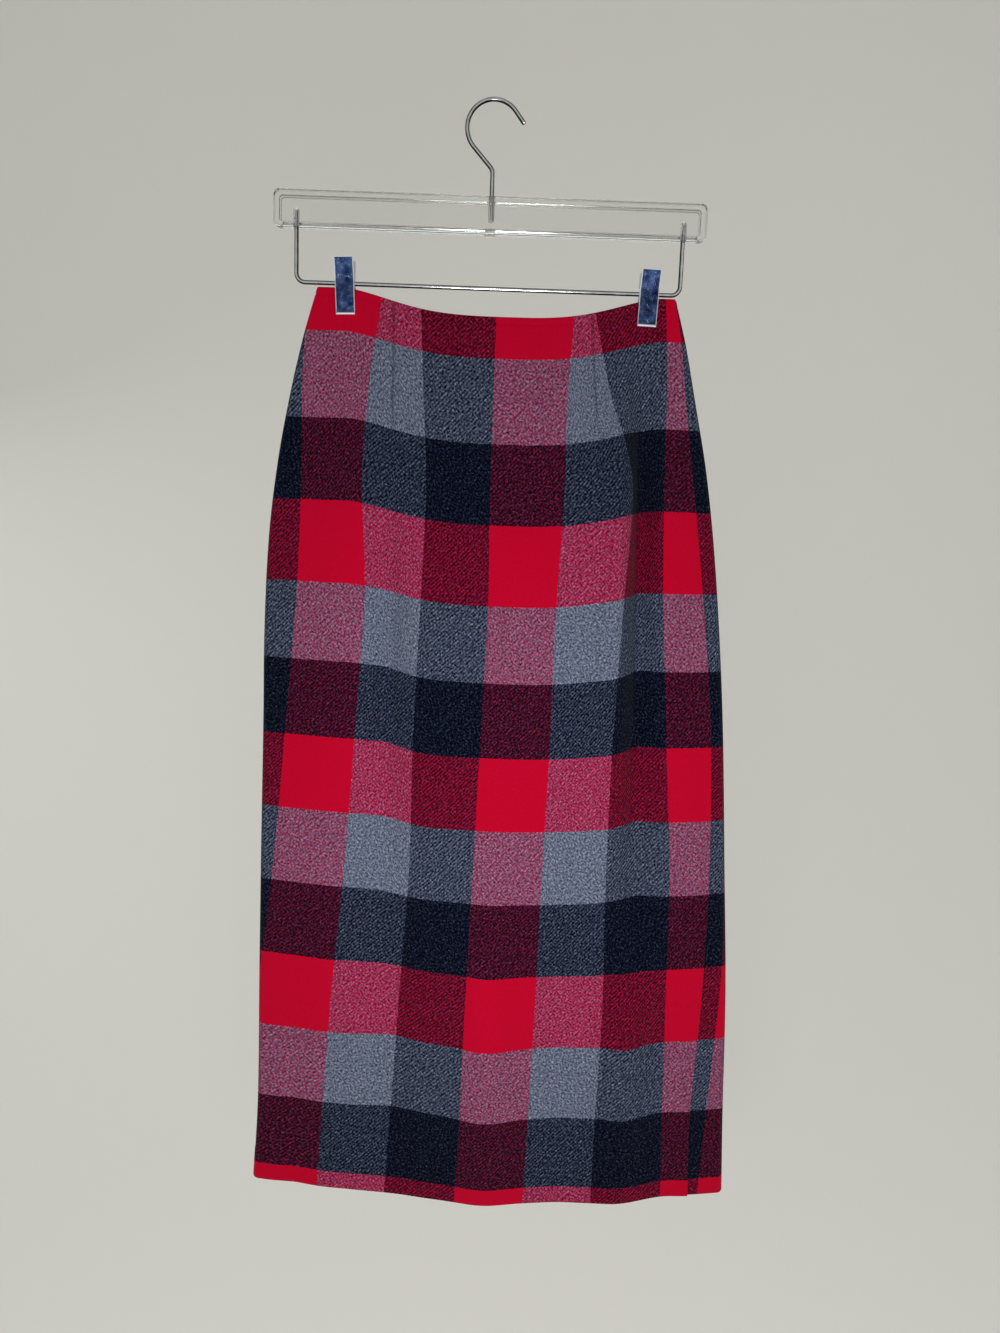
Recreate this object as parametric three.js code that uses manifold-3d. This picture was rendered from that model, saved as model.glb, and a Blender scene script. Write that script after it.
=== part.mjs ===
// A tartan wrap skirt hanging flat from a clip hanger.
// Millimetres, +Z up, +X to the viewer's right, +Y away from the viewer.
// The origin is the highest inner point of the hook, where the hanger rests on its peg.
import * as THREE from 'three';
import { mergeVertices } from 'three/addons/utils/BufferGeometryUtils.js';
import Module from 'manifold-3d';

const wasm = await Module();
wasm.setup();

// ---- cloth -----------------------------------------------------------------------
const CLOTH = 1.8;              // thickness of the brushed wool with its turned edges
const LAYER_GAP = 0.4;          // air between the wrap and the layer under it
const SEAM_GAP = 0.3;           // air between two panels at a side seam
const TILT = THREE.MathUtils.degToRad(2);  // the hanger and the waist drop to the right
const WAIST_Z = -166.7;         // waist edge at x = 0, before its droop
const HEM_Z = -1086;            // hem edge at x = 0
const DROOP = { depth: 23.5, centre: 8, half: 150, flatness: 3 };  // waist sag between the clips
const HEM_RISE = { height: 4, centre: 5, from: 110, over: 60 };  // the hem climbs at both sides
const UNDER_EDGE = { waist: -58, hem: -84 };   // hidden free edge of the under panel

// Outline seen from the front. at: share of the way from the waist down to the hem.
const OUTLINE = [
  { at: 0.00, left: -165.0, wrapEdge: 168.8, right: 170.0 },
  { at: 0.045, left: -178.6, wrapEdge: 176.0, right: 180.7 },
  { at: 0.10, left: -192.3, wrapEdge: 181.3, right: 190.9 },
  { at: 0.17, left: -206.7, wrapEdge: 188.6, right: 203.4 },
  { at: 0.25, left: -218.4, wrapEdge: 197.0, right: 213.4 },
  { at: 0.35, left: -226.3, wrapEdge: 207.0, right: 222.2 },
  { at: 0.45, left: -230.8, wrapEdge: 214.5, right: 228.6 },
  { at: 0.60, left: -238.3, wrapEdge: 217.3, right: 235.0 },
  { at: 0.75, left: -245.3, wrapEdge: 213.5, right: 240.9 },
  { at: 0.90, left: -252.0, wrapEdge: 204.8, right: 242.6 },
  { at: 1.00, left: -260.0, wrapEdge: 205.3, right: 244.5 },
];

// Outline seen from the side: outer radius of the side folds, and how far the middle of
// the front and of the back stands out beyond them.
const DEPTH = [
  { at: 0.00, fold: 2.4, front: 13, back: 11 },
  { at: 0.06, fold: 3.0, front: 17, back: 12 },
  { at: 0.15, fold: 4.0, front: 24, back: 15 },
  { at: 0.30, fold: 5.5, front: 29, back: 18 },
  { at: 0.50, fold: 6.5, front: 29, back: 20 },
  { at: 0.75, fold: 7.0, front: 24, back: 20 },
  { at: 1.00, fold: 7.0, front: 20, back: 18 },
];

// Soft folds. Each starts at `from`, is highest at `peak` and dies out at `to`; its line
// runs from x0 to x1 and its width from w0 to w1. A negative height is a hollow.
const FRONT_FOLDS = [
  { from: 0.02, peak: 0.20, to: 0.80, x0: 121, x1: 104, w0: 11, w1: 20, height: 9 },
  { from: 0.02, peak: 0.22, to: 0.90, x0: 141, x1: 142, w0: 10, w1: 17, height: -18 },
  { from: 0.08, peak: 0.38, to: 0.75, x0: -98, x1: -112, w0: 15, w1: 18, height: -13 },
  { from: 0.15, peak: 0.42, to: 0.85, x0: -62, x1: -70, w0: 16, w1: 24, height: 4 },
  { from: 0.50, peak: 0.84, to: 1.18, x0: -2, x1: -14, w0: 22, w1: 34, height: 13 },
  { from: 0.60, peak: 0.80, to: 1.22, x0: -102, x1: -112, w0: 24, w1: 32, height: -9 },
  { from: 0.62, peak: 0.80, to: 1.10, x0: 138, x1: 132, w0: 16, w1: 24, height: 11 },
];
const BACK_FOLDS = [
  { from: 0.05, peak: 0.30, to: 0.85, x0: -92, x1: -104, w0: 15, w1: 24, height: -9 },
  { from: 0.06, peak: 0.34, to: 0.95, x0: 88, x1: 98, w0: 16, w1: 26, height: -10 },
  { from: 0.45, peak: 0.85, to: 1.60, x0: -30, x1: -22, w0: 24, w1: 36, height: 8 },
  { from: 0.50, peak: 0.90, to: 1.60, x0: 62, x1: 70, w0: 22, w1: 30, height: -6 },
];
const PINCH = { centre: 2.5, half: 131, from: 0.02, over: 0.20 };  // flat where the clips hold
const FOLD_ZONE = { from: 108, to: 158 };   // the deep fold under the right dart, meshed finer
const CAP_WIDTH = 12;           // strip at each side fold that takes finer stations
const FRONT_LEVELS = 20;
const BACK_LEVELS = 16;
const LEVEL_EASE = 1.35;        // levels crowd towards the waist

// ---- hanger ----------------------------------------------------------------------
const WIRE_RADIUS = 2;
const WIRE_HOLE = 2.9;
const WIRE_SIDES = 10;
const HOOK = { radius: 24.5, centreX: 0.8, centreZ: -22.5, tipAngle: 38, tipLength: 12,
  tailAngle: 214.4, shankX: 0.6, bendZ: -60, foot: 20 };
const BAR = { length: 400, top: -81.7, bottom: -114.9, depth: 12, web: 8,
  rim: 6.5, footRim: 4, corner: 6.5, innerCorner: 3, nib: 5 };
const LOOP = { legX: 179, bottom: -162.7, corner: 8, into: 14 };
const CLIP = { width: 18, plate: 1, rib: 1, ribRise: 0.5, lip: 2.4,
  lipRise: 1.2, grip: 5, waistZ: -8, neckZ: 4, neck: 4.7, flare: 4.8, earTop: 4.2, earBottom: -3.2,
  earBack: 3.1, hole: 2.6, springOuter: 3, springHole: 2.35, springLength: 10.5 };
const CLIPS = [   // above, below: reach of the plates from the wire
  { name: 'left', x: -138.9, lean: 0, above: 22.7, below: 28.5, frontJaw: 3.4, backJaw: 3.4 },
  { name: 'right', x: 144.3, lean: 4, above: 21.3, below: 29.9, frontJaw: 5.4, backJaw: 3.4 },
];

// ---- materials -------------------------------------------------------------------
const wool = new THREE.MeshStandardMaterial({ color: 0x8a1830, roughness: 0.95, metalness: 0 });
const woolShade = new THREE.MeshStandardMaterial({ color: 0x4a2436, roughness: 0.95, metalness: 0 });
const acrylic = new THREE.MeshStandardMaterial({ color: 0xe9eef0, roughness: 0.12, metalness: 0 });
const chrome = new THREE.MeshStandardMaterial({ color: 0xc9ced6, roughness: 0.18, metalness: 1 });

// ---- small maths -----------------------------------------------------------------
const { clamp, lerp, smoothstep } = THREE.MathUtils;

// A smooth curve through one column of a table, read at a share of the drop.
function column(table, name) {
  const slope = table.map((row, i) => {
    const before = table[Math.max(i - 1, 0)];
    const after = table[Math.min(i + 1, table.length - 1)];
    return (after[name] - before[name]) / (after.at - before.at);
  });
  return (v) => {
    const last = table.length - 2;
    const i = clamp(table.findLastIndex((row) => row.at <= v), 0, last);
    const span = table[i + 1].at - table[i].at;
    const t = (v - table[i].at) / span;
    const rise = t * t * (3 - 2 * t);
    return table[i][name] * (1 - rise) + table[i + 1][name] * rise
      + span * t * (1 - t) * ((1 - t) * slope[i] - t * slope[i + 1]);
  };
}

const leftX = column(OUTLINE, 'left');
const wrapEdgeX = column(OUTLINE, 'wrapEdge');
const rightX = column(OUTLINE, 'right');
const foldRadius = column(DEPTH, 'fold');
const frontBulge = column(DEPTH, 'front');
const backBulge = column(DEPTH, 'back');
const underEdgeX = (v) => lerp(UNDER_EDGE.waist, UNDER_EDGE.hem, v);

// ---- cloth surfaces --------------------------------------------------------------
// Height of the cloth: the waist sags between the clips, the sag dies out downwards, and
// the sides climb a little close to the hem.
function clothZ(x, v) {
  const s = clamp(Math.abs(x - DROOP.centre) / DROOP.half, 0, 1);
  const sag = DROOP.depth * (1 - s ** DROOP.flatness) ** 2;
  const aside = smoothstep(Math.abs(x - HEM_RISE.centre), HEM_RISE.from, HEM_RISE.from + HEM_RISE.over);
  return lerp(WAIST_Z - sag, HEM_Z, v) + HEM_RISE.height * aside * v ** 6 - Math.tan(TILT) * x;
}

// Sum of the soft folds at one place.
function foldHeight(folds, x, v) {
  let sum = 0;
  for (const fold of folds) {
    const along = clamp((v - fold.from) / (Math.min(fold.to, 1) - fold.from), 0, 1);
    const across = (x - lerp(fold.x0, fold.x1, along)) / lerp(fold.w0, fold.w1, along);
    const fade = smoothstep(v, fold.from, fold.peak) * (1 - smoothstep(v, fold.peak, fold.to));
    sum += fold.height * fade * Math.exp(-across * across);
  }
  return sum;
}

// How far one face stands out from the middle plane: a round side fold at each end, a
// bulge between them that the clips pinch flat at the waist, and the soft folds.
function standOut(side, x, v) {
  const left = leftX(v);
  const right = rightX(v) + side.lift;
  const leftRadius = foldRadius(v);
  const rightRadius = leftRadius + side.lift;
  const inLeft = Math.min((x - left) / leftRadius, 1);
  const inRight = Math.min((right - x) / rightRadius, 1);
  const across = clamp((x - left) / (right - left), 0, 1);
  let base = lerp(leftRadius, rightRadius, across);
  if (inLeft < 1) base = leftRadius * Math.sqrt(Math.max(0, 1 - (1 - inLeft) ** 2));
  if (inRight < 1) base = rightRadius * Math.sqrt(Math.max(0, 1 - (1 - inRight) ** 2));
  const fromPinch = Math.min(Math.abs((x - PINCH.centre) / PINCH.half), 1);
  const atWaist = (1 - fromPinch ** 2.4) ** 1.5;
  const below = 1 - Math.abs(2 * across - 1) ** 2.2;
  const open = smoothstep(v, PINCH.from, PINCH.from + PINCH.over);
  const clear = smoothstep(Math.min(x - left, right - x), 0, 25);
  return base + side.bulge(v) * lerp(atWaist, below, open) + clear * foldHeight(side.folds, x, v);
}

// lift: the front carries two layers at its right end, so its line lies one layer further out.
const FRONT = { facing: -1, lift: CLOTH + LAYER_GAP, bulge: frontBulge, folds: FRONT_FOLDS };
const BACK = { facing: 1, lift: 0, bulge: backBulge, folds: BACK_FOLDS };

function clothPoint(side, x, v) {
  return new THREE.Vector3(x, side.facing * (SEAM_GAP / 2 + standOut(side, x, v)), clothZ(x, v));
}

// x stations at one level, zone after zone; 'open' and 'close' crowd at a side fold.
function stations(zones, v) {
  const list = [zones[0].from(v)];
  for (const zone of zones) {
    const a = zone.from(v);
    const b = zone.to(v);
    for (let i = 1; i <= zone.steps; i += 1) {
      const t = i / zone.steps;
      let share = t;
      if (zone.crowd === 'open') share = 1 - Math.cos(t * Math.PI / 2);
      if (zone.crowd === 'close') share = Math.sin(t * Math.PI / 2);
      list.push(lerp(a, b, share));
    }
  }
  return list;
}

// Points of one face with their outward normals. Both ends lie on the middle plane,
// so their normals point straight sideways.
function clothGrid(side, zones, levels) {
  const points = [];
  for (let j = 0; j <= levels; j += 1) {
    const v = (j / levels) ** LEVEL_EASE;
    points.push(stations(zones, v).map((x) => clothPoint(side, x, v)));
  }
  const last = points[0].length - 1;
  const normals = points.map((row, j) => row.map((point, i) => {
    const across = row[Math.min(i + 1, last)].clone().sub(row[Math.max(i - 1, 0)]);
    const down = points[Math.min(j + 1, levels)][i].clone().sub(points[Math.max(j - 1, 0)][i]);
    const normal = across.cross(down).multiplyScalar(side.facing);
    if (i === 0 || i === last) normal.y = 0;
    return normal.normalize();
  }));
  return { points, normals, levels };
}

// A closed wall between two depths below the grid's face, over a range of its columns.
function clothWall(grid, facing, first, last, outer, inner) {
  const width = last - first + 1;
  const rows = grid.levels + 1;
  const position = [];
  for (const depth of [outer, inner]) {
    for (let j = 0; j < rows; j += 1) {
      for (let i = first; i <= last; i += 1) {
        const p = grid.points[j][i].clone().addScaledVector(grid.normals[j][i], -depth);
        position.push(p.x, p.y, p.z);
      }
    }
  }
  const at = (layer, j, i) => layer * rows * width + j * width + i;
  const index = [];
  const quad = (a, b, c, d) => {
    const corners = facing < 0 ? [a, b, c, a, c, d] : [a, c, b, a, d, c];
    index.push(...corners);
  };
  for (let j = 0; j < rows - 1; j += 1) {
    for (let i = 0; i < width - 1; i += 1) {
      quad(at(0, j, i), at(0, j + 1, i), at(0, j + 1, i + 1), at(0, j, i + 1));
      quad(at(1, j, i), at(1, j, i + 1), at(1, j + 1, i + 1), at(1, j + 1, i));
    }
    quad(at(0, j, 0), at(1, j, 0), at(1, j + 1, 0), at(0, j + 1, 0));
    quad(at(0, j, width - 1), at(0, j + 1, width - 1), at(1, j + 1, width - 1), at(1, j, width - 1));
  }
  for (let i = 0; i < width - 1; i += 1) {
    quad(at(0, 0, i), at(0, 0, i + 1), at(1, 0, i + 1), at(1, 0, i));
    quad(at(0, rows - 1, i), at(1, rows - 1, i), at(1, rows - 1, i + 1), at(0, rows - 1, i + 1));
  }
  const geometry = new THREE.BufferGeometry();
  geometry.setAttribute('position', new THREE.Float32BufferAttribute(position, 3));
  geometry.setIndex(index);
  geometry.computeVertexNormals();
  return geometry;
}

const leftCapEnd = (v) => leftX(v) + CAP_WIDTH;
const frontRightX = (v) => rightX(v) + FRONT.lift;
const FRONT_ZONES = [
  { from: leftX, to: leftCapEnd, steps: 5, crowd: 'open' },
  { from: leftCapEnd, to: underEdgeX, steps: 13 },
  { from: underEdgeX, to: () => FOLD_ZONE.from, steps: 12 },
  { from: () => FOLD_ZONE.from, to: () => FOLD_ZONE.to, steps: 11 },
  { from: () => FOLD_ZONE.to, to: wrapEdgeX, steps: 4 },
  { from: wrapEdgeX, to: frontRightX, steps: 7, crowd: 'close' },
];
const BACK_ZONES = [
  { from: leftX, to: leftCapEnd, steps: 5, crowd: 'open' },
  { from: leftCapEnd, to: (v) => rightX(v) - CAP_WIDTH, steps: 19 },
  { from: (v) => rightX(v) - CAP_WIDTH, to: rightX, steps: 5, crowd: 'close' },
];

function makeSkirt() {
  const frontGrid = clothGrid(FRONT, FRONT_ZONES, FRONT_LEVELS);
  const backGrid = clothGrid(BACK, BACK_ZONES, BACK_LEVELS);
  const steps = (zones) => zones.reduce((sum, zone) => sum + zone.steps, 0);
  const underStart = steps(FRONT_ZONES.slice(0, 2));
  const wrapEnd = steps(FRONT_ZONES.slice(0, 5));
  const under = CLOTH + LAYER_GAP;
  return [
    solid('front_panel', clothWall(frontGrid, -1, 0, wrapEnd, 0, CLOTH), wool),
    solid('under_panel', clothWall(frontGrid, -1, underStart, steps(FRONT_ZONES), under,
      under + CLOTH), woolShade),
    solid('back_panel', clothWall(backGrid, 1, 0, steps(BACK_ZONES), 0, CLOTH), wool),
  ];
}

// ---- booleans --------------------------------------------------------------------
function toManifold(geometry) {
  const bare = geometry.clone();
  bare.deleteAttribute('normal');
  bare.deleteAttribute('uv');
  const merged = mergeVertices(bare, 1e-4);
  return new wasm.Manifold(new wasm.Mesh({
    numProp: 3,
    vertProperties: new Float32Array(merged.attributes.position.array),
    triVerts: new Uint32Array(merged.index.array),
  }));
}

function fromManifold(body) {
  const mesh = body.getMesh();
  const geometry = new THREE.BufferGeometry();
  geometry.setAttribute('position', new THREE.Float32BufferAttribute(mesh.vertProperties, 3));
  geometry.setIndex(Array.from(mesh.triVerts));
  geometry.computeVertexNormals();
  return geometry;
}

function solid(name, geometry, material) {
  const mesh = new THREE.Mesh(geometry, material);
  mesh.name = name;
  return mesh;
}

// A shape drawn in x and z, given a depth along y and centred on the plane at y.
function plate(shape, depth, y = 0) {
  const geometry = new THREE.ExtrudeGeometry(shape, { depth, bevelEnabled: false, curveSegments: 4 });
  return geometry.rotateX(Math.PI / 2).translate(0, y + depth / 2, 0);
}

// A shape drawn in y and z, given a width along x and centred on x.
function strip(shape, width, x = 0) {
  const geometry = new THREE.ExtrudeGeometry(shape, { depth: width, bevelEnabled: false });
  geometry.rotateX(Math.PI / 2).rotateZ(Math.PI / 2);
  return geometry.translate(x - width / 2, 0, 0);
}

function uprightRod(radius, bottom, top, x) {
  const rod = new THREE.CylinderGeometry(radius, radius, top - bottom, 12);
  return rod.rotateX(Math.PI / 2).translate(x, 0, (top + bottom) / 2);
}

function roundedBox(left, right, bottom, top, radius) {
  const shape = new THREE.Shape();
  shape.absarc(right - radius, top - radius, radius, 0, Math.PI / 2);
  shape.absarc(left + radius, top - radius, radius, Math.PI / 2, Math.PI);
  shape.absarc(left + radius, bottom + radius, radius, Math.PI, Math.PI * 1.5);
  shape.absarc(right - radius, bottom + radius, radius, Math.PI * 1.5, Math.PI * 2);
  shape.closePath();
  return shape;
}

// ---- hanger pieces ---------------------------------------------------------------
// A curve whose steps fall on its own points, so that straight runs need only their ends.
class BentWire extends THREE.CatmullRomCurve3 {
  getUtoTmapping(u) { return u; }
}

// Round wire swept along a line of points.
function wire(points) {
  const section = new THREE.Shape();
  section.absarc(0, 0, WIRE_RADIUS, 0, Math.PI * 2);
  return new THREE.ExtrudeGeometry(section, {
    steps: points.length - 1,
    extrudePath: new BentWire(points, false, 'centripetal'),
    curveSegments: WIRE_SIDES / 2,
  });
}

function arcPoints(x, z, radius, fromDegrees, toDegrees, count) {
  return Array.from({ length: count + 1 }, (_, i) => {
    const angle = THREE.MathUtils.degToRad(lerp(fromDegrees, toDegrees, i / count));
    return new THREE.Vector3(x + radius * Math.cos(angle), 0, z + radius * Math.sin(angle));
  });
}

function makeHook() {
  const arc = arcPoints(HOOK.centreX, HOOK.centreZ, HOOK.radius, HOOK.tipAngle, HOOK.tailAngle, 14);
  const tipTurn = THREE.MathUtils.degToRad(HOOK.tipAngle - 90);
  const tip = new THREE.Vector3(Math.cos(tipTurn), 0, Math.sin(tipTurn));
  const start = [1, 0.5].map((share) => arc[0].clone().addScaledVector(tip, HOOK.tipLength * share));
  const shank = (z) => new THREE.Vector3(HOOK.shankX, 0, z);
  const bend = new THREE.Vector3(HOOK.shankX - 1.2, 0, HOOK.bendZ + 3);
  const foot = BAR.top - HOOK.foot;
  const tail = [bend, shank(HOOK.bendZ - 3), shank(BAR.top + 4), shank(foot)];
  return solid('hook', wire([...start, ...arc, ...tail]), chrome);
}

function makeBar() {
  const half = BAR.length / 2;
  const outline = roundedBox(-half, half, BAR.bottom, BAR.top, BAR.corner);
  const panel = roundedBox(-half + BAR.rim, half - BAR.rim, BAR.bottom + BAR.footRim,
    BAR.top - BAR.rim, BAR.innerCorner);
  const recess = (BAR.depth - BAR.web) / 2;
  const recessY = BAR.depth / 2;
  let body = toManifold(plate(outline, BAR.depth));
  for (const side of [-1, 1]) {
    body = body.subtract(toManifold(plate(panel, recess * 2, side * recessY)));
  }
  const nib = roundedBox(-BAR.nib, BAR.nib, BAR.bottom - 1.5, BAR.bottom + 2, 1);
  body = body.add(toManifold(plate(nib, BAR.web)));
  const shankHole = uprightRod(WIRE_HOLE, BAR.top - HOOK.foot - 0.4, BAR.top + 1, HOOK.shankX);
  body = body.subtract(toManifold(shankHole));
  for (const side of [-1, 1]) {
    const legHole = uprightRod(WIRE_HOLE, BAR.bottom - 1, BAR.bottom + LOOP.into + 0.4,
      side * LOOP.legX);
    body = body.subtract(toManifold(legHole));
  }
  return solid('hanger_bar', fromManifold(body), acrylic);
}

// The wire that the clips slide on: two legs out of the bar and a straight run between.
function makeLoop() {
  const top = BAR.bottom + LOOP.into;
  const turnZ = LOOP.bottom + LOOP.corner;
  const turnX = LOOP.legX - LOOP.corner;
  const at = (x, z) => new THREE.Vector3(x, 0, z);
  const leftTurn = arcPoints(-turnX, turnZ, LOOP.corner, 180, 270, 4);
  const rightTurn = arcPoints(turnX, turnZ, LOOP.corner, 270, 360, 4);
  const points = [
    at(-LOOP.legX, top), at(-LOOP.legX, (top + turnZ) / 2), ...leftTurn,
    at(-turnX / 3, LOOP.bottom), at(turnX / 3, LOOP.bottom),
    ...rightTurn, at(LOOP.legX, (top + turnZ) / 2), at(LOOP.legX, top),
  ];
  return solid('lower_wire', wire(points), chrome);
}

// One pressed plate of a clip, drawn for the front: jaw at the bottom, finger lever at
// the top, a folded lip, a rib down each side and two ears that the wire runs through.
function makePlate(name, { above, below }, jaw, facing, earX) {
  const neck = Math.max(CLIP.neck, jaw);
  const inner = [[jaw, -below], [jaw, -below + CLIP.grip], [neck, CLIP.waistZ],
    [neck, CLIP.neckZ], [neck + CLIP.flare, above]];
  const outline = (thickness) => {
    const outer = inner.map(([out, z]) => [out + thickness, z]).reverse();
    return new THREE.Shape([...inner, ...outer].map(([out, z]) => new THREE.Vector2(out * facing, z)));
  };
  const half = CLIP.width / 2;
  let body = toManifold(strip(outline(CLIP.plate), CLIP.width));
  for (const side of [-1, 1]) {
    const rib = strip(outline(CLIP.plate + CLIP.ribRise), CLIP.rib, side * (half - CLIP.rib / 2));
    body = body.add(toManifold(rib));
  }
  const lip = new THREE.Shape([[0.2, 0], [CLIP.plate + CLIP.lipRise, 0.4],
    [CLIP.plate + CLIP.lipRise, CLIP.lip - 0.4], [0.2, CLIP.lip]]
    .map(([out, up]) => new THREE.Vector2((jaw + out) * facing, up - below)));
  body = body.add(toManifold(strip(lip, CLIP.width)));
  const ear = new THREE.Shape([[neck + 0.5, CLIP.earTop], [-CLIP.earBack, CLIP.earTop - 1],
    [-CLIP.earBack, CLIP.earBottom + 1], [-CLIP.earBack + 1, CLIP.earBottom],
    [neck + 0.5, CLIP.earBottom]].map(([out, z]) => new THREE.Vector2(out * facing, z)));
  for (const side of [-1, 1]) {
    body = body.add(toManifold(strip(ear, CLIP.plate, side * earX)));
  }
  const hole = new THREE.CylinderGeometry(CLIP.hole, CLIP.hole, CLIP.width + 2, 14);
  body = body.subtract(toManifold(hole.rotateZ(Math.PI / 2)));
  return solid(name, fromManifold(body), chrome);
}

function makeSpring(name) {
  const half = CLIP.springLength / 2;
  const ring = [[CLIP.springHole, -half], [CLIP.springOuter, -half], [CLIP.springOuter, half],
    [CLIP.springHole, half], [CLIP.springHole, -half]].map(([r, y]) => new THREE.Vector2(r, y));
  return solid(name, new THREE.LatheGeometry(ring, 14).rotateZ(Math.PI / 2), chrome);
}

function makeClip({ name, x, lean, frontJaw, backJaw, ...reach }) {
  const clip = new THREE.Group();
  const outerEar = (CLIP.width - CLIP.plate) / 2;
  clip.add(
    makePlate(`${name}_clip_front`, reach, frontJaw, -1, outerEar),
    makePlate(`${name}_clip_back`, reach, backJaw, 1, outerEar - CLIP.plate - 0.3),
    makeSpring(`${name}_clip_spring`),
  );
  // The clip sits where the tilted wire passes this x.
  const wireZ = LOOP.bottom / Math.cos(TILT) - x * Math.tan(TILT);
  clip.position.set(x, 0, wireZ);
  clip.rotation.y = THREE.MathUtils.degToRad(lean);
  return clip;
}

// ---- the whole object ------------------------------------------------------------
const hanger = new THREE.Group();
hanger.rotation.y = TILT;
hanger.add(makeHook(), makeBar(), makeLoop());

const object = new THREE.Group();
object.add(hanger, ...CLIPS.map(makeClip), ...makeSkirt());

export default object;
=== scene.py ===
# %% [markdown]
# # A tartan wrap skirt on a clip hanger
# A long wool skirt hangs flat from a clear hanger. The solids already fix where each piece
# is and how large it is. This lesson dresses them: the three cloth panels become thin
# shells with soft folds and a woven check, and the hanger gets bright wire, clear plastic
# and pressed metal clips. Every surface is worked out with numpy as a whole array.

import bpy
import numpy as np
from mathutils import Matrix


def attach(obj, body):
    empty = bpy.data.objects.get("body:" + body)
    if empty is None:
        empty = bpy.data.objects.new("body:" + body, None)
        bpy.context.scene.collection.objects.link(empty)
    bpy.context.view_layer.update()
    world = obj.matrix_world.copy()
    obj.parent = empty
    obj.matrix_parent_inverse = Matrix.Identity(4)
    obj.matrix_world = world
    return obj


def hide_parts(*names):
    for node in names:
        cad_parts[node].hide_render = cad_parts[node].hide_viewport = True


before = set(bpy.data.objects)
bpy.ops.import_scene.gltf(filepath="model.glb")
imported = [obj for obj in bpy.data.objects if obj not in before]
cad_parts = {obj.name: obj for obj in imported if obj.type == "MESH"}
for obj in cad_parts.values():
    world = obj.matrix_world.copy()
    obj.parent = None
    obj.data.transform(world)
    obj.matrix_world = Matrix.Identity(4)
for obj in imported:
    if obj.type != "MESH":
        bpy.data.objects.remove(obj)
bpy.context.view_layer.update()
MM = 0.001

# %% [markdown]
# ## The camera
# The skirt is looked at from just under a metre away, from a little above its middle, with
# the camera turned down by 9 degrees. A near camera makes the hem look smaller than the
# waist, so the distance matters as much as the direction.

# %% The camera
CAMERA_AT = (5.4 * MM, -979 * MM, -363 * MM)
CAMERA_DOWN = np.radians(9.1)
CAMERA_LENS = 27.03          # on a 36 mm frame, along the tall side


def make_camera():
    data = bpy.data.cameras.new("camera")
    data.lens = CAMERA_LENS
    data.sensor_width = 36
    data.clip_end = 50
    camera = bpy.data.objects.new("camera", data)
    camera.location = CAMERA_AT
    camera.rotation_euler = (np.pi / 2 - CAMERA_DOWN, 0, 0)
    bpy.context.scene.collection.objects.link(camera)
    bpy.context.scene.camera = camera


make_camera()
print("camera at", CAMERA_AT)

# %% [markdown]
# ## Putting arrays into meshes
# Blender takes whole arrays at once. One helper turns vertices, four-cornered faces and
# their cut coordinates into an object, and one more joins a grid's neighbours into faces.

# %% Mesh helpers
scene = bpy.context.scene


def make_object(name, vertices, faces, uv=None):
    """A smooth mesh from an (n, 3) array in millimetres and a list of arrays of face corners."""
    mesh = bpy.data.meshes.new(name)
    mesh.vertices.add(len(vertices))
    mesh.vertices.foreach_set("co", (np.asarray(vertices) * MM).astype(np.float32).ravel())
    corners = np.concatenate([np.full(len(part), part.shape[1]) for part in faces])
    mesh.loops.add(int(corners.sum()))
    mesh.loops.foreach_set("vertex_index", np.concatenate([part.ravel() for part in faces]).astype(np.int32))
    mesh.polygons.add(len(corners))
    mesh.polygons.foreach_set("loop_start", (np.cumsum(corners) - corners).astype(np.int32))
    mesh.update(calc_edges=True)
    mesh.shade_smooth()
    if uv is not None:
        layer = mesh.uv_layers.new(name="cut")
        layer.data.foreach_set("uv", np.asarray(uv, dtype=np.float32).ravel())
    mesh.validate()
    piece = bpy.data.objects.new(name, mesh)
    scene.collection.objects.link(piece)
    return piece


def grid_quads(index):
    """Corners of every cell of a grid of vertex numbers, in one turning direction."""
    return np.stack([index[:-1, :-1], index[1:, :-1], index[1:, 1:], index[:-1, 1:]], -1).reshape(-1, 4)


def dress(piece, material, slot, *nodes):
    """Gives a piece its finish, and lets it stand for its solids."""
    piece.data.materials.append(material)
    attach(piece, "root")
    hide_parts(*nodes)
    return piece


# %% [markdown]
# ## The outline of the skirt
# A flared skirt is drawn by its outline: how wide it is at each height, and how far it
# stands out. Short tables hold those sizes in millimetres, and a smooth curve is read
# through each column. They are the same tables that shaped the solids.

# %% Sizes of the cloth
CLOTH = 1.8                  # thickness
LAYER_GAP = 0.4              # between the wrap and the layer under it
SEAM_GAP = 0.3               # between front and back at the side folds
TILT = np.radians(2)         # right end lower
WAIST_Z = -166.7
HEM_Z = -1086
DROOP_DEPTH, DROOP_CENTRE, DROOP_HALF, DROOP_FLATNESS = 23.5, 8, 150, 3
RISE_HEIGHT, RISE_CENTRE, RISE_FROM, RISE_OVER = 4, 5, 110, 60
PINCH_CENTRE, PINCH_HALF, PINCH_FROM, PINCH_OVER = 2.5, 131, 0.02, 0.20
LENGTH = 896                 # of the centre front, from waist to hem

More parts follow.
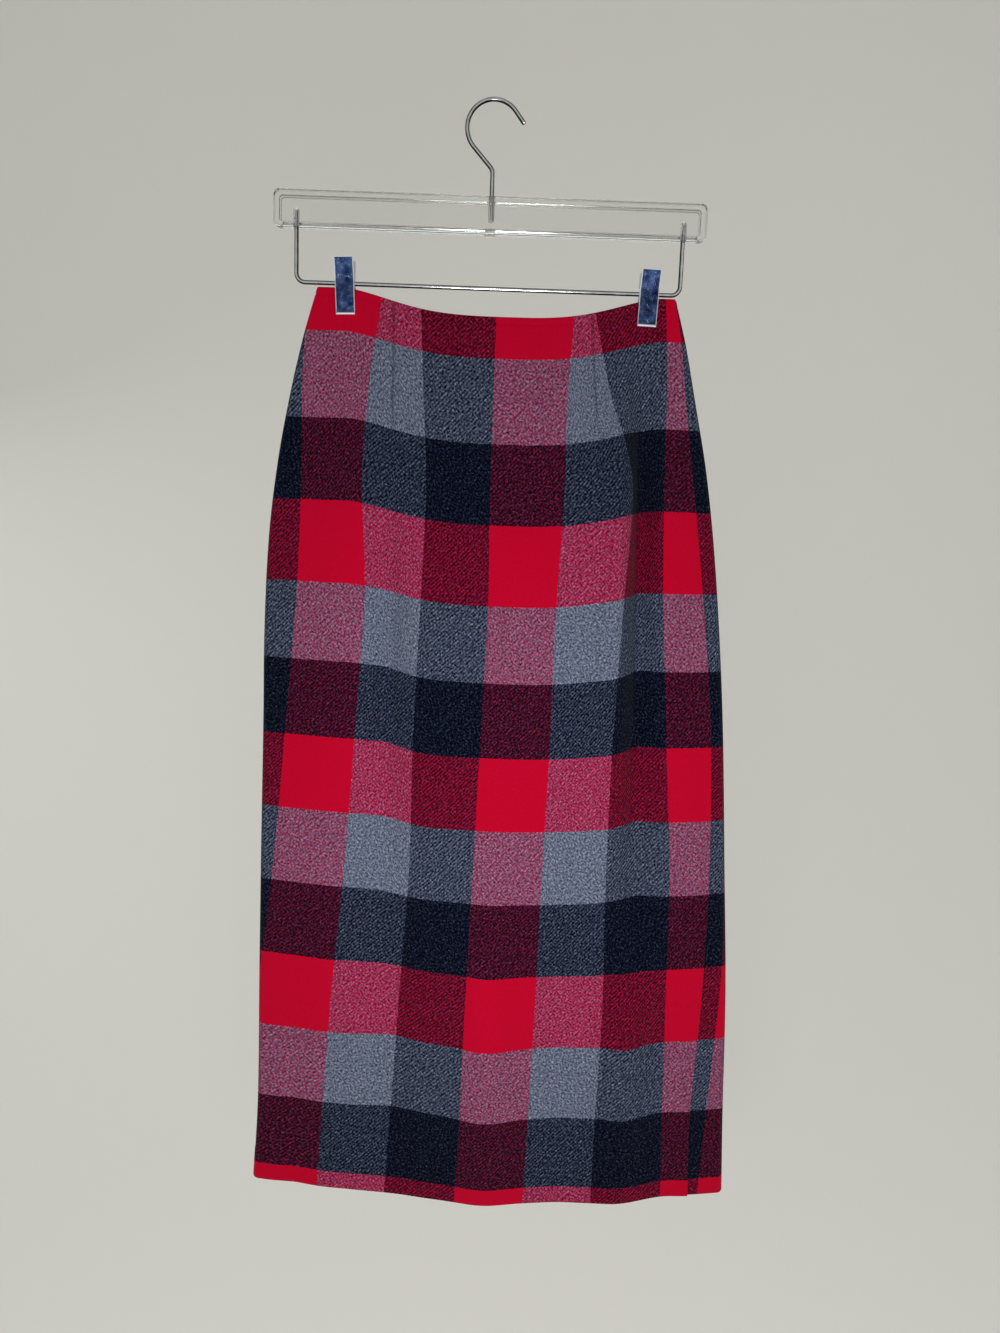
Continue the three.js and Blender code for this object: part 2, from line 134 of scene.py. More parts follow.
OUTLINE = np.array([
    # at, left, wrap edge, right
    (0.00, -165.0, 168.8, 170.0),
    (0.045, -178.6, 176.0, 180.7),
    (0.10, -192.3, 181.3, 190.9),
    (0.17, -206.7, 188.6, 203.4),
    (0.25, -218.4, 197.0, 213.4),
    (0.35, -226.3, 207.0, 222.2),
    (0.45, -230.8, 214.5, 228.6),
    (0.60, -238.3, 217.3, 235.0),
    (0.75, -245.3, 213.5, 240.9),
    (0.90, -252.0, 204.8, 242.6),
    (1.00, -260.0, 205.3, 244.5),
])
DEPTH = np.array([
    # at, fold radius, front bulge, back bulge
    (0.00, 2.4, 13, 11),
    (0.06, 3.0, 17, 12),
    (0.15, 4.0, 24, 15),
    (0.30, 5.5, 29, 18),
    (0.50, 6.5, 29, 20),
    (0.75, 7.0, 24, 20),
    (1.00, 7.0, 20, 18),
])
print("waist", OUTLINE[0, 3] - OUTLINE[0, 1], "mm, hem", OUTLINE[-1, 3] - OUTLINE[-1, 1], "mm")

# %% Reading a table as a smooth curve


def smooth(t):
    """0 before 0, 1 after 1, and a soft S between."""
    t = np.clip(t, 0, 1)
    return t * t * (3 - 2 * t)


def curve(table, column, v):
    """Between two rows: the cubic that meets both values with the slopes of their neighbours."""
    at, value = table[:, 0], table[:, column]
    before, after = np.maximum(np.arange(len(at)) - 1, 0), np.minimum(np.arange(len(at)) + 1, len(at) - 1)
    slope = (value[after] - value[before]) / (at[after] - at[before])
    i = np.clip(np.searchsorted(at, v, side="right") - 1, 0, len(at) - 2)
    span = at[i + 1] - at[i]
    t = (v - at[i]) / span
    rise = t * t * (3 - 2 * t)
    bend = span * t * (1 - t) * ((1 - t) * slope[i] - t * slope[i + 1])
    return value[i] * (1 - rise) + value[i + 1] * rise + bend


def left_x(v):
    return curve(OUTLINE, 1, v)


def wrap_edge_x(v):
    return curve(OUTLINE, 2, v)


def right_x(v):
    return curve(OUTLINE, 3, v)


HIP = 0.25                   # share of the drop, where the skirt is measured
print("width at the hip:", round(float(right_x(HIP) - left_x(HIP))), "mm")

# %% [markdown]
# ## Soft folds
# A skirt that hangs from two clips isn't flat. The darts let out cloth below the waist,
# and it falls into a few soft folds: a deep one under the right dart, a hollow under the
# left one, and broad ridges near the hem. Each fold is a row: where it starts, is highest
# and ends, the line it runs along, how wide it is and how high. A hump across the line
# that fades along it gives a fold with no hard edge. The short rows after the first
# seven are small creases, uneven on purpose.

# %% Tables of folds
FRONT_FOLDS = np.array([
    # from, peak, to, x0, x1, width0, width1, height
    (0.02, 0.20, 0.80, 121, 104, 11, 20, 9),
    (0.02, 0.22, 0.90, 141, 142, 10, 17, -18),
    (0.08, 0.38, 0.75, -98, -112, 15, 18, -13),
    (0.15, 0.42, 0.85, -62, -70, 16, 24, 4),
    (0.50, 0.84, 1.18, -2, -14, 22, 34, 13),
    (0.60, 0.80, 1.22, -102, -112, 24, 32, -9),
    (0.62, 0.80, 1.10, 138, 132, 16, 24, 11),
    (0.03, 0.10, 0.30, -150, -163, 7, 12, -1.6),
    (0.03, 0.12, 0.34, 168, 178, 6, 11, -1.8),
    (0.10, 0.24, 0.46, 34, 26, 14, 20, 1.4),
    (0.20, 0.33, 0.52, -150, -158, 12, 18, 1.5),
    (0.36, 0.52, 0.70, 58, 50, 16, 22, -1.6),
    (0.55, 0.70, 0.92, -165, -176, 14, 22, 2.2),
    (0.62, 0.78, 1.30, 60, 66, 14, 20, -2.6),
    (0.74, 0.90, 1.50, -205, -214, 12, 18, -2.4),
    (0.70, 0.86, 1.50, 176, 180, 12, 18, -2.2),
    (0.09, 0.24, 0.64, 138, 136, 3.6, 5.0, -2.2),
    (0.07, 0.12, 0.22, 96, 109, 3.0, 3.4, -1.0),
])
BACK_FOLDS = np.array([
    (0.05, 0.30, 0.85, -92, -104, 15, 24, -9),
    (0.06, 0.34, 0.95, 88, 98, 16, 26, -10),
    (0.45, 0.85, 1.60, -30, -22, 24, 36, 8),
    (0.50, 0.90, 1.60, 62, 70, 22, 30, -6),
    (0.03, 0.11, 0.32, -150, -160, 8, 13, -1.6),
    (0.04, 0.13, 0.30, 152, 162, 8, 12, -1.5),
    (0.25, 0.40, 0.66, 8, 14, 16, 24, 1.8),
    (0.58, 0.74, 1.30, -150, -162, 16, 22, 2.2),
    (0.66, 0.84, 1.50, 150, 160, 16, 22, -2.4),
])
print("folds:", len(FRONT_FOLDS), "in front,", len(BACK_FOLDS), "behind")

# %% The cloth as a surface
FOLD_CLEAR = 25              # the folds fade out over this distance from each side


def cloth_z(x, v):
    """Height: from the waist line, which sags between the clips, to the hem line, which climbs a
    little at both sides. Both are tilted."""
    s = np.clip(np.abs(x - DROOP_CENTRE) / DROOP_HALF, 0, 1)
    sag = DROOP_DEPTH * (1 - s**DROOP_FLATNESS) ** 2
    rise = RISE_HEIGHT * smooth((np.abs(x - RISE_CENTRE) - RISE_FROM) / RISE_OVER) * v**6
    return (WAIST_Z - sag) * (1 - v) + HEM_Z * v + rise - np.tan(TILT) * x


def fold_height(folds, x, v):
    """Sum over the folds of height, times its fade along v, times exp(-(distance / width) squared)."""
    total = np.zeros(np.broadcast(x, v).shape)
    for start, peak, stop, x0, x1, w0, w1, height in folds:
        along = np.clip((v - start) / (min(stop, 1) - start), 0, 1)
        across = (x - x0 - (x1 - x0) * along) / (w0 + (w1 - w0) * along)
        fade = smooth((v - start) / (peak - start)) * (1 - smooth((v - peak) / (stop - peak)))
        total += height * fade * np.exp(-across * across)
    return total


def stand_out(side, x, v):
    """How far a face is from the middle plane: a quarter circle at each side fold, a bulge between
    them that the clips pinch flat at the waist, and the folds."""
    left, right = left_x(v), right_x(v) + side["lift"]
    left_radius = curve(DEPTH, 1, v)
    right_radius = left_radius + side["lift"]
    across = np.clip((x - left) / (right - left), 0, 1)
    in_left = np.clip((x - left) / left_radius, 0, 1)
    in_right = np.clip((right - x) / right_radius, 0, 1)
    base = left_radius + (right_radius - left_radius) * across
    base = np.where(in_left < 1, left_radius * np.sqrt(1 - (1 - in_left) ** 2), base)
    base = np.where(in_right < 1, right_radius * np.sqrt(1 - (1 - in_right) ** 2), base)
    at_waist = (1 - np.clip(np.abs(x - PINCH_CENTRE) / PINCH_HALF, 0, 1) ** 2.4) ** 1.5
    below = 1 - np.abs(2 * across - 1) ** 2.2
    open_up = smooth((v - PINCH_FROM) / PINCH_OVER)
    clear = smooth(np.minimum(x - left, right - x) / FOLD_CLEAR)
    bulge = curve(DEPTH, side["bulge"], v) * (at_waist + (below - at_waist) * open_up)
    return base + bulge + clear * fold_height(side["folds"], x, v)


FRONT = {"facing": -1, "lift": CLOTH + LAYER_GAP, "bulge": 2, "folds": FRONT_FOLDS}
BACK = {"facing": 1, "lift": 0.0, "bulge": 3, "folds": BACK_FOLDS}


def cloth_points(side, x, v):
    """The surface itself: x across, y out from the middle plane, z down."""
    y = side["facing"] * (SEAM_GAP / 2 + stand_out(side, x, v))
    return np.stack([x, y, cloth_z(x, v)], -1)


print("the front stands out", round(float(stand_out(FRONT, 0.0, HIP)), 1), "mm in the middle of the hip")

# %% [markdown]
# ## Stations
# The grid needs fine steps only where the cloth turns sharply: at its edges, at the side
# folds, beside the darts and along the waist stitching. Elsewhere a step of about 3 mm
# is enough for soft folds. So each panel is divided into zones, each with its own steps.

# %% Stations across and down
RIM = 0.9                    # the rounded edge of the cloth
CAP = 14                     # the zone beside a side fold, with fine steps
TOP_BAND = 14                # the zone of the waist stitching, with fine steps


def crowd(steps, where="even"):
    """Shares from just after 0 to 1. 'open' crowds them at the start, 'close' at the end."""
    t = np.arange(1, steps + 1) / steps
    return {"even": t, "open": 1 - np.cos(t * np.pi / 2), "close": np.sin(t * np.pi / 2)}[where]


def stations(levels, zones):
    """x for every level and station. A zone is (its right end as a function, steps, crowding)."""
    start, columns = zones[0](levels), []
    columns.append(start[:, None])
    for end_of, steps, where in zones[1:]:
        end = end_of(levels)
        columns.append(start[:, None] + (end - start)[:, None] * crowd(steps, where)[None, :])
        start = end
    return np.concatenate(columns, axis=1)


def make_levels():
    """Shares of the drop: fine at both edges and round the waist stitching, then even."""
    rim = RIM / LENGTH
    top = np.concatenate([[0], rim * crowd(4, "open"), np.linspace(rim, TOP_BAND / LENGTH, 15)[1:]])
    body = np.linspace(TOP_BAND / LENGTH, 1 - rim, 232)[1:]
    return np.concatenate([top, body, 1 - rim + rim * crowd(4, "close")])


LEVELS = make_levels()
print("levels:", len(LEVELS))

# %% [markdown]
# ## Darts and stitching
# A dart takes a wedge out of the waist so that the cloth fits. Outside, it shows as a fine
# sunken line that ends in a soft point. The waist edge is turned in and stitched, so a
# second fine line runs along it. These are shallow grooves in the surface itself.

# %% Relief of the sewing
DART_LEFT = {"top": -93.5, "tip": -96, "length": 0.133, "swallows": 34}
DART_RIGHT = {"top": 90.5, "tip": 97, "length": 0.118, "swallows": 44}
BACK_DARTS = ({"top": -86, "tip": -90, "length": 0.13, "swallows": 34},
              {"top": 90, "tip": 94, "length": 0.13, "swallows": 34})
STITCH_DROP = 6.2            # below the waist edge
GROOVE_WIDTH, GROOVE_DEPTH = 1.1, 0.5
DART_SWELL, DART_DIMPLE = 0.45, 0.8
ROLL_HEIGHT = 0.25           # of the turned waist edge
HEM_TURN, HEM_PROUD = 30, 0.35


def dart_x(dart, v):
    """The dart's line, carried on straight below its tip."""
    return dart["top"] + (dart["tip"] - dart["top"]) * v / dart["length"]


def dart_place(dart, x, v):
    """Distance from the seam in groove widths, and a share that falls from 1 to 0 round the tip."""
    near = (x - dart_x(dart, v)) / GROOVE_WIDTH
    share = 1 - smooth((v - dart["length"] * 0.82) / (dart["length"] * 0.24))
    return near, share


def dart_line(dart, x, v):
    """1 on the dart's seam, falling off across it as exp(-near squared), and fading out at its tip."""
    near, share = dart_place(dart, x, v)
    return share * np.exp(-near * near)


def dart_relief(dart, x, v):
    """A groove along the seam, a low swelling beside it, and a dimple at the tip."""
    near, share = dart_place(dart, x, v)
    swell = DART_SWELL * share * np.exp(-((np.abs(near) - 3.4) / 2.2) ** 2)
    tip_x = (x - dart["tip"]) / 7
    tip_v = (v - dart["length"] * 1.04) * LENGTH / 13
    dimple = DART_DIMPLE * np.exp(-tip_x * tip_x - tip_v * tip_v)
    return swell - GROOVE_DEPTH * dart_line(dart, x, v) - dimple


def waist_relief(v):
    """The stitch line's groove, and the full roll of the turned edge above it."""
    down = v * LENGTH
    groove = -GROOVE_DEPTH * np.exp(-(((down - STITCH_DROP) / 0.9) ** 2))
    roll = ROLL_HEIGHT * np.exp(-(((down - STITCH_DROP * 0.45) / 2.4) ** 2))
    return groove + roll


def hem_relief(v):
    """The hem is double a little way up: it stands proud there and ends in a soft step."""
    up = (1 - v) * LENGTH
    return HEM_PROUD * (1 - smooth((up - HEM_TURN) / 5))


print("darts:", [round(dart["length"] * LENGTH) for dart in (DART_LEFT, DART_RIGHT, *BACK_DARTS)], "mm")

# %% [markdown]
# ## Closed shells
# Cloth has two faces and a soft edge. A single sheet would show nothing at its edge and
# could let light through, so each panel is a shell: one grid outside, one inside, sharing
# their border. Towards the border the thickness falls as a quarter circle does, so the edge
# is round. The Solidify modifier would give a square edge and no control of the relief.

# %% Grids, normals and closed shells


def grid_normals(points, facing, pin_left, pin_right):
    """Cross product of the steps across and down. A pinned side points straight sideways."""
    across, down = np.gradient(points, axis=1), np.gradient(points, axis=0)
    normals = np.cross(across, down) * facing
    if pin_left:
        normals[:, 0, 1] = 0
    if pin_right:
        normals[:, -1, 1] = 0
    return normals / np.linalg.norm(normals, axis=2, keepdims=True)


def edge_distance(points):
    """Distance in the cloth from each point to the nearest of the four edges."""
    across = np.linalg.norm(np.diff(points, axis=1), axis=2)
    down = np.linalg.norm(np.diff(points, axis=0), axis=2)
    from_left = np.pad(np.cumsum(across, axis=1), ((0, 0), (1, 0)))
    from_top = np.pad(np.cumsum(down, axis=0), ((1, 0), (0, 0)))
    sides = np.minimum(from_left, from_left[:, -1:] - from_left)
    return np.minimum(sides, np.minimum(from_top, from_top[-1:, :] - from_top))


def shell(middle, normals, thick, raised, facing):
    """Two faces either side of a middle grid that share their border: middle + normal (thick + raised)
    outside, middle - normal thick inside. Returns vertices and outer faces, then inner faces."""
    outer = middle + normals * (thick + raised)[..., None]
    inner = middle - normals * thick[..., None]
    rows, columns = middle.shape[:2]
    index = np.arange(rows * columns).reshape(rows, columns)
    inside = index.copy()
    inside[1:-1, 1:-1] = rows * columns + np.arange((rows - 2) * (columns - 2)).reshape(rows - 2, -1)
    vertices = np.concatenate([outer.reshape(-1, 3), inner[1:-1, 1:-1].reshape(-1, 3)])
    quads = np.concatenate([grid_quads(index), grid_quads(inside)[:, ::-1]])
    return vertices, quads if facing < 0 else quads[:, ::-1]


def set_field(piece, name, values):
    """One number for each vertex, that a material can read by its name. The rest are 0."""
    field = piece.data.attributes.new(name, "FLOAT", "POINT")
    rest = len(piece.data.vertices) - values.size
    field.data.foreach_set("value", np.pad(values.ravel(), (0, rest)).astype(np.float32))


def cloth_shell(name, points, side, pinned, u_left, u_right, row, depth=0.0, relief=0.0, seam=None):
    """The cloth as a shell whose half thickness is t/2 times the height of a quarter circle over the
    rim. The cut coordinates are given for each face from its own corners."""
    half = CLOTH / 2
    facing = side["facing"]
    normals = grid_normals(points, facing, *pinned)
    near = np.clip(edge_distance(points) / RIM, 0, 1)
    thick = half * np.sqrt(1 - (1 - near) ** 2)
    vertices, quads = shell(points - normals * (depth + half), normals, thick, near * relief, facing)
    u = np.stack([u_right[:-1, :-1], u_right[1:, :-1], u_left[1:, 1:], u_left[:-1, 1:]], -1)
    v = np.stack([row[:-1, :-1], row[1:, :-1], row[1:, 1:], row[:-1, 1:]], -1)
    uv = (np.stack([u, v], -1) * MM).reshape(-1, 4, 2)
    uv = np.concatenate([uv, uv[:, ::-1]])
    piece = make_object(name, vertices, [quads], uv if facing < 0 else uv[:, ::-1])
    # The seam field marks the darts' lines, where the material paints a little shade.
    set_field(piece, "seam", np.zeros(points.shape[:2]) if seam is None else seam)
    print(name, len(quads) * 2, "triangles")
    return piece


# %% [markdown]
# Each panel therefore carries its own cut coordinates: millimetres across and down the
# flat piece. Across, they come from the length along the surface between the lines of
# the check, so the check narrows in a fold just as cloth does. A dart hides a wedge of
# cloth, so the coordinate jumps there, and the check meets itself at an angle.

# %% Where the lines of the check fall
COLUMN = 70.0                # width of one column of the check
ROW = 76.13                  # height of one row
FIRST_ROW = 40.1             # the first, cut row
SLACK = 1e-6                 # tells the left side of a dart's line from the right
CHECK = np.array([
    # at, c0, c1, c2, c3, c4, c5, c6
    (0.00, -172, -105, -68, 2, 73.5, 93.5, 160),
    (0.09, -181, -118, -66, -1, 68, 110, 163),
    (0.18, -183, -125, -64, -4, 65, 131, 161),
    (0.30, -190, -124, -70, -6, 58, 123, 162),
    (0.45, -206, -136, -79, -14, 53, 114, 168),
    (0.60, -223, -150, -85, -22, 46, 110, 175),
    (0.75, -245, -167, -98, -30, 40, 109, 175),
    (0.90, -268, -181, -110, -37, 33, 103, 175),
    (1.00, -282, -190, -118, -43, 28, 100, 175),
])
ROW_EASE = np.array([
    # at, how far down the cut the rows slip to meet the true hang of the cloth
    (0.00, 2.8), (0.05, 2.6), (0.12, 0.4), (0.30, 2.3), (0.45, 6),
    (0.55, 9.8), (0.65, 10), (0.80, 7), (0.90, 3.4), (1.00, 0),
])


def arc_lengths(points):
    """Length along each level from its first station."""
    steps = np.linalg.norm(np.diff(points, axis=1), axis=2)
    return np.pad(np.cumsum(steps, axis=1), ((0, 0), (1, 0)))


def front_cut(points, x):
    """Cut coordinate across the front, as seen from the left and from the right of each station.
    Between two lines of the check it grows with the length along the surface, and at a dart it
    jumps by the cloth that the dart hides."""
    s = arc_lengths(points)
    lines = np.stack([curve(CHECK, i + 1, LEVELS) for i in range(7)], 1)
    at, plain = np.empty_like(lines), np.empty_like(s)
    for j, (line, station, length) in enumerate(zip(lines, x, s)):
        at[j] = np.interp(line, station, length)
        at[j, 0] += min(line[0] - station[0], 0)      # the first line may lie past the side fold
        known = np.concatenate([[at[j, 0] - COLUMN], at[j], [at[j, -1] + COLUMN]])
        plain[j] = np.interp(length, known, COLUMN * np.arange(-1, 8))
    cuts = []
    for slack in (SLACK, -SLACK):
        u = plain
        for dart, column in ((DART_LEFT, 1), (DART_RIGHT, 4)):
            width = at[:, column + 1] - at[:, column]
            share = 1 - smooth(LEVELS / dart["length"])
            hidden = (np.clip(COLUMN - width, 0, None) * share)[:, None]
            base = COLUMN * column
            inside = (u > base) & (u < base + COLUMN)
            past = x > dart_x(dart, LEVELS)[:, None] + slack
            u = np.where(inside, base + (u - base) * (COLUMN - hidden) / COLUMN + hidden * past, u)
        cuts.append(u)
    return cuts


def cut_rows(v):
    """Cut coordinate down: the drop along the cloth, with the first row cut short."""
    return v * LENGTH + np.interp(v, ROW_EASE[:, 0], ROW_EASE[:, 1]) - FIRST_ROW + ROW


print("columns of the check at the hem:", np.diff(CHECK[-1, 1:]).tolist(), "mm")


# %% [markdown]
# ## The tartan wool
# The cloth is a twill: each weft thread passes over two warp threads and under two, one
# step further along in each row, which draws fine diagonal ribs. Where a grey warp meets
# a red weft, both colours show as tiny stripes. So the material works like the loom. It
# picks a warp colour from the column, a weft colour from the row, and a diagonal wave
# decides which one is on top. The grey yarn is a melange, so it is flecked.

# %% Node helpers


class Nodes:
    """A material's node tree with short calls for the few nodes that are used."""

    def __init__(self, name):
        self.material = bpy.data.materials.new(name)
        self.material.use_nodes = True
        self.tree = self.material.node_tree
        self.shader = self.tree.nodes["Principled BSDF"]

    def add(self, kind, **settings):
        node = self.tree.nodes.new("ShaderNode" + kind)
        for key, value in settings.items():
            setattr(node, key, value)
        return node

    def link(self, value, socket):
        if isinstance(value, bpy.types.NodeSocket):
            self.tree.links.new(value, socket)
        else:
            socket.default_value = value

    def math(self, operation, a, b=0.0, c=0.0):
        node = self.add("Math", operation=operation)
        for value, socket in zip((a, b, c), node.inputs):
            self.link(value, socket)
        return node.outputs[0]

    def vector(self, operation, *values, scale=None):
        node = self.add("VectorMath", operation=operation)
        for value, socket in zip(values, node.inputs):
            self.link(value, socket)
        if scale is not None:
            self.link(scale, node.inputs["Scale"])
        return node.outputs[0]

    def mix(self, factor, a, b):
        node = self.add("Mix", data_type="RGBA")
        for name, value in (("Factor", factor), ("A", a), ("B", b)):
            self.link(value, node.inputs[name])
        return node.outputs["Result"]

    def field(self, name):
        """A number that the mesh carries at each vertex."""
        return self.add("Attribute", attribute_name=name).outputs["Fac"]

    def feed(self, name, value):
        """A constant or a link into one of the shader's sockets."""
        self.link(value, self.shader.inputs[name])

    def ramp(self, factor, stops, interpolation="LINEAR"):
        node = self.add("ValToRGB")
        node.color_ramp.interpolation = interpolation
        elements = node.color_ramp.elements
        while len(elements) < len(stops):
            elements.new(0.5)
        for element, (at, colour) in zip(elements, stops):
            element.position = at
            element.color = colour
        self.link(factor, node.inputs["Fac"])
        return node.outputs["Color"]

    def noise(self, vector, scale, detail=2.0, stretch=(1, 1, 1), turn=0.0):
        """Fractal noise. The place is turned about Z first and then divided by the stretch."""
        place = self.add("Mapping", vector_type="TEXTURE")
        place.inputs["Rotation"].default_value = (0, 0, turn)
        place.inputs["Scale"].default_value = stretch
        self.link(vector, place.inputs["Vector"])
        node = self.add("TexNoise")
        node.inputs["Scale"].default_value = scale
        node.inputs["Detail"].default_value = detail
        self.link(place.outputs["Vector"], node.inputs["Vector"])
        return node.outputs["Fac"]

    def bump(self, height, distance, strength=1.0):
        node = self.add("Bump")
        node.inputs["Strength"].default_value = strength
        node.inputs["Distance"].default_value = distance
        self.link(height, node.inputs["Height"])
        self.feed("Normal", node.outputs["Normal"])


def srgb(red, green, blue):
    """A colour given as on screen, 0 to 255, turned into the light that Blender works in."""
    c = np.array([red, green, blue]) / 255
    linear = np.where(c <= 0.04045, c / 12.92, ((c + 0.055) / 1.055) ** 2.4)
    return (*linear.tolist(), 1.0)


# %% The wool's nodes
# Yarn colours as seen on screen. The fourth number is how strongly the yarn covers the other one.
RED = (182 / 255, 0.0, 44 / 255, 0.54)
GREY = (94 / 255, 101 / 255, 120 / 255, 0.72)
BLACK = (13 / 255, 19 / 255, 35 / 255, 1.0)
TWILL_PITCH = 4.2 * MM       # between two diagonals, measured along a row
TWILL_CLARITY = 0.2          # how far the twill's wave moves the weft's share
FLUFF_CLARITY = 0.9          # how far the fluff moves it
LEAST_SHARE = 0.04           # what shows of the thread beneath, at least
# How flecked the cloth is, against how much green its mixed colour holds: little in pure red.
FLECKED = [(at, (share,) * 4) for at, share in (
    (0.0, 0.05), (0.02, 0.38), (0.08, 0.44), (0.15, 0.52), (0.28, 0.55), (0.42, 0.58))]


def yarn(n, at, count_size):
    """The colour and the cover of the thread at a place, from a band of three colours."""
    phase = n.math("FRACT", n.math("MULTIPLY_ADD", at, 1 / (3 * count_size * MM), 4.0))
    colour = n.ramp(phase, [(0.0, RED), (1 / 3, GREY), (2 / 3, BLACK)], "CONSTANT")
    return colour, colour.node.outputs["Alpha"]


def make_tartan():
    n = Nodes("tartan_wool")
    cut = n.add("UVMap", uv_map="cut").outputs["UV"]
    apart = n.add("SeparateXYZ")
    n.link(cut, apart.inputs["Vector"])
    u, v = apart.outputs["X"], apart.outputs["Y"]
    # Threads wander a little, so a colour's edge is soft and uneven.
    wander = n.math("MULTIPLY_ADD", n.noise(cut, 900, 1), 0.0020, -0.0010)
    warp, warp_cover = yarn(n, n.math("ADD", u, wander), COLUMN)
    weft, weft_cover = yarn(n, n.math("ADD", v, wander), ROW)
    # The twill: a wave along the sum of both directions, broken up by the fluff.
    fluff = n.noise(cut, 530, 1, (1.0, 2.0, 1.0), np.pi / 4)
    phase = n.math("MULTIPLY", n.math("ADD", u, v), 2 * np.pi / TWILL_PITCH)
    wave = n.math("SINE", n.math("MULTIPLY_ADD", fluff, 1.2, phase))
    share = n.math("MULTIPLY_ADD", wave, TWILL_CLARITY, n.math("MULTIPLY_ADD", fluff, FLUFF_CLARITY, 0.16))
    weft_share = n.math("MINIMUM", n.math("MAXIMUM", share, LEAST_SHARE), 1 - LEAST_SHARE)
    weft_pull = n.math("MULTIPLY", weft_share, weft_cover)
    warp_pull = n.math("MULTIPLY", n.math("SUBTRACT", 1.0, weft_share), warp_cover)
    blend = n.math("DIVIDE", weft_pull, n.math("ADD", weft_pull, warp_pull))
    colour = n.mix(blend, warp, weft)
    # Melange: pale and dark fibres in the grey and the black, few in the red.
    green = n.add("SeparateColor")
    n.link(colour, green.inputs["Color"])
    flecked = n.ramp(green.outputs["Green"], FLECKED)
    fibres = n.noise(cut, 600, 2, (1.0, 1.5, 1.0), -np.pi / 4)
    clumps = n.math("MULTIPLY_ADD", n.noise(cut, 420, 2), 0.6, -1.05)
    fleck = n.math("MULTIPLY_ADD", fibres, 1.5, clumps)
    nap = n.math("MULTIPLY_ADD", n.noise(cut, 60, 3), 0.12, -0.06)
    lift = n.math("MULTIPLY", flecked, n.math("ADD", fleck, nap))
    pale = n.vector("MULTIPLY_ADD", (1.0, 1.0, 1.06), lift, colour)
    # A sewn line is sunk into the cloth, and a painted shade makes it a little darker.
    shade = n.vector("SCALE", pale, scale=n.math("MULTIPLY_ADD", n.field("seam"), -0.22, 1.0))
    # The yarns were mixed as seen on screen, and the gamma turns them into light.
    light = n.add("Gamma")
    n.link(n.vector("MAXIMUM", shade, (0.0, 0.0, 0.01)), light.inputs["Color"])
    light.inputs["Gamma"].default_value = 2.2
    n.feed("Base Color", light.outputs["Color"])
    n.feed("Roughness", n.math("MULTIPLY_ADD", fluff, 0.1, 0.88))
    n.feed("Specular IOR Level", 0.06)
    n.feed("Sheen Weight", 0.03)
    n.feed("Sheen Roughness", 0.5)
    n.bump(fluff, 0.12 * MM, 0.25)
    return n.material


tartan = make_tartan()
print("tartan repeat:", 3 * COLUMN, "by", round(3 * ROW, 1), "mm")

# %% [markdown]
# ## The wrapped front
# The outer front runs from the left side seam round the side fold to its free edge near
# the right side. It takes most of the light, so it has the finest grid.

# %% The wrapped front


def dart_zones(dart, steps_before):
    """Plain cloth up to 4 mm before the dart, and fine steps on both sides of its line."""
    return [
        (lambda v: dart_x(dart, v) - 4, steps_before, "even"),
        (lambda v: dart_x(dart, v), 5, "even"),
        (lambda v: dart_x(dart, v) + 4, 5, "even"),
    ]


def panel_grid(side, zones):
    """Levels down, stations across, the surface over them, and the cut's rows."""
    v = LEVELS[:, None]
    x = stations(LEVELS, zones)
    return v, x, cloth_points(side, x, v), np.broadcast_to(cut_rows(v), x.shape)


def make_front():
    zones = [
        left_x,
        (lambda v: left_x(v) + CAP, 14, "open"),
        *dart_zones(DART_LEFT, 20),
        *dart_zones(DART_RIGHT, 54),
        (lambda v: wrap_edge_x(v) - RIM, 46, "even"),
        (wrap_edge_x, 4, "close"),
    ]
    v, x, points, rows = panel_grid(FRONT, zones)
    relief = dart_relief(DART_LEFT, x, v) + dart_relief(DART_RIGHT, x, v) + waist_relief(v) + hem_relief(v)
    # The darts' lines, where the material paints a little shade.
    seam = dart_line(DART_LEFT, x, v) + dart_line(DART_RIGHT, x, v)
    u_left, u_right = front_cut(points, x)
    return cloth_shell("wrap_front", points, FRONT, (True, False), u_left, u_right, rows, 0.0, relief, seam)


front = dress(make_front(), tartan, "tartan_wool", "front_panel")

# %% [markdown]
# ## The layer under the wrap
# The under front starts at the right side seam and runs in behind the wrap. It lies on
# the same surface, one layer of cloth further in.

# %% The layer under the wrap
UNDER_WAIST_X, UNDER_HEM_X = -58, -84
UNDER_LINE = 37              # its last line of the check, from the side seam at the hem
UNDER_DRIFT = 83             # how much further round the side that line is at the waist
UNDER_RELIEF = 0.4           # how much of the waist's stitching shows through on it


def under_edge_x(v):
    return UNDER_WAIST_X + (UNDER_HEM_X - UNDER_WAIST_X) * v


def make_under():
    def outer_x(v):
        return right_x(v) + FRONT["lift"]

    zones = [
        under_edge_x,
        (lambda v: under_edge_x(v) + RIM, 3, "open"),
        (lambda v: outer_x(v) - CAP, 76, "even"),
        (outer_x, 14, "close"),
    ]
    v, x, points, rows = panel_grid(FRONT, zones)
    s = arc_lengths(points)
    u = s - s[:, -1:] + UNDER_LINE - UNDER_DRIFT * (1 - v)
    relief = waist_relief(v) * UNDER_RELIEF
    return cloth_shell("under_front", points, FRONT, (False, True), u, u, rows, FRONT["lift"], relief)


under = dress(make_under(), tartan, "tartan_wool", "under_panel")

# %% [markdown]
# ## The back
# The back is one plain panel between the side seams, with two darts of its own. Its folds
# are placed like those in front, but in other places.

# %% The back


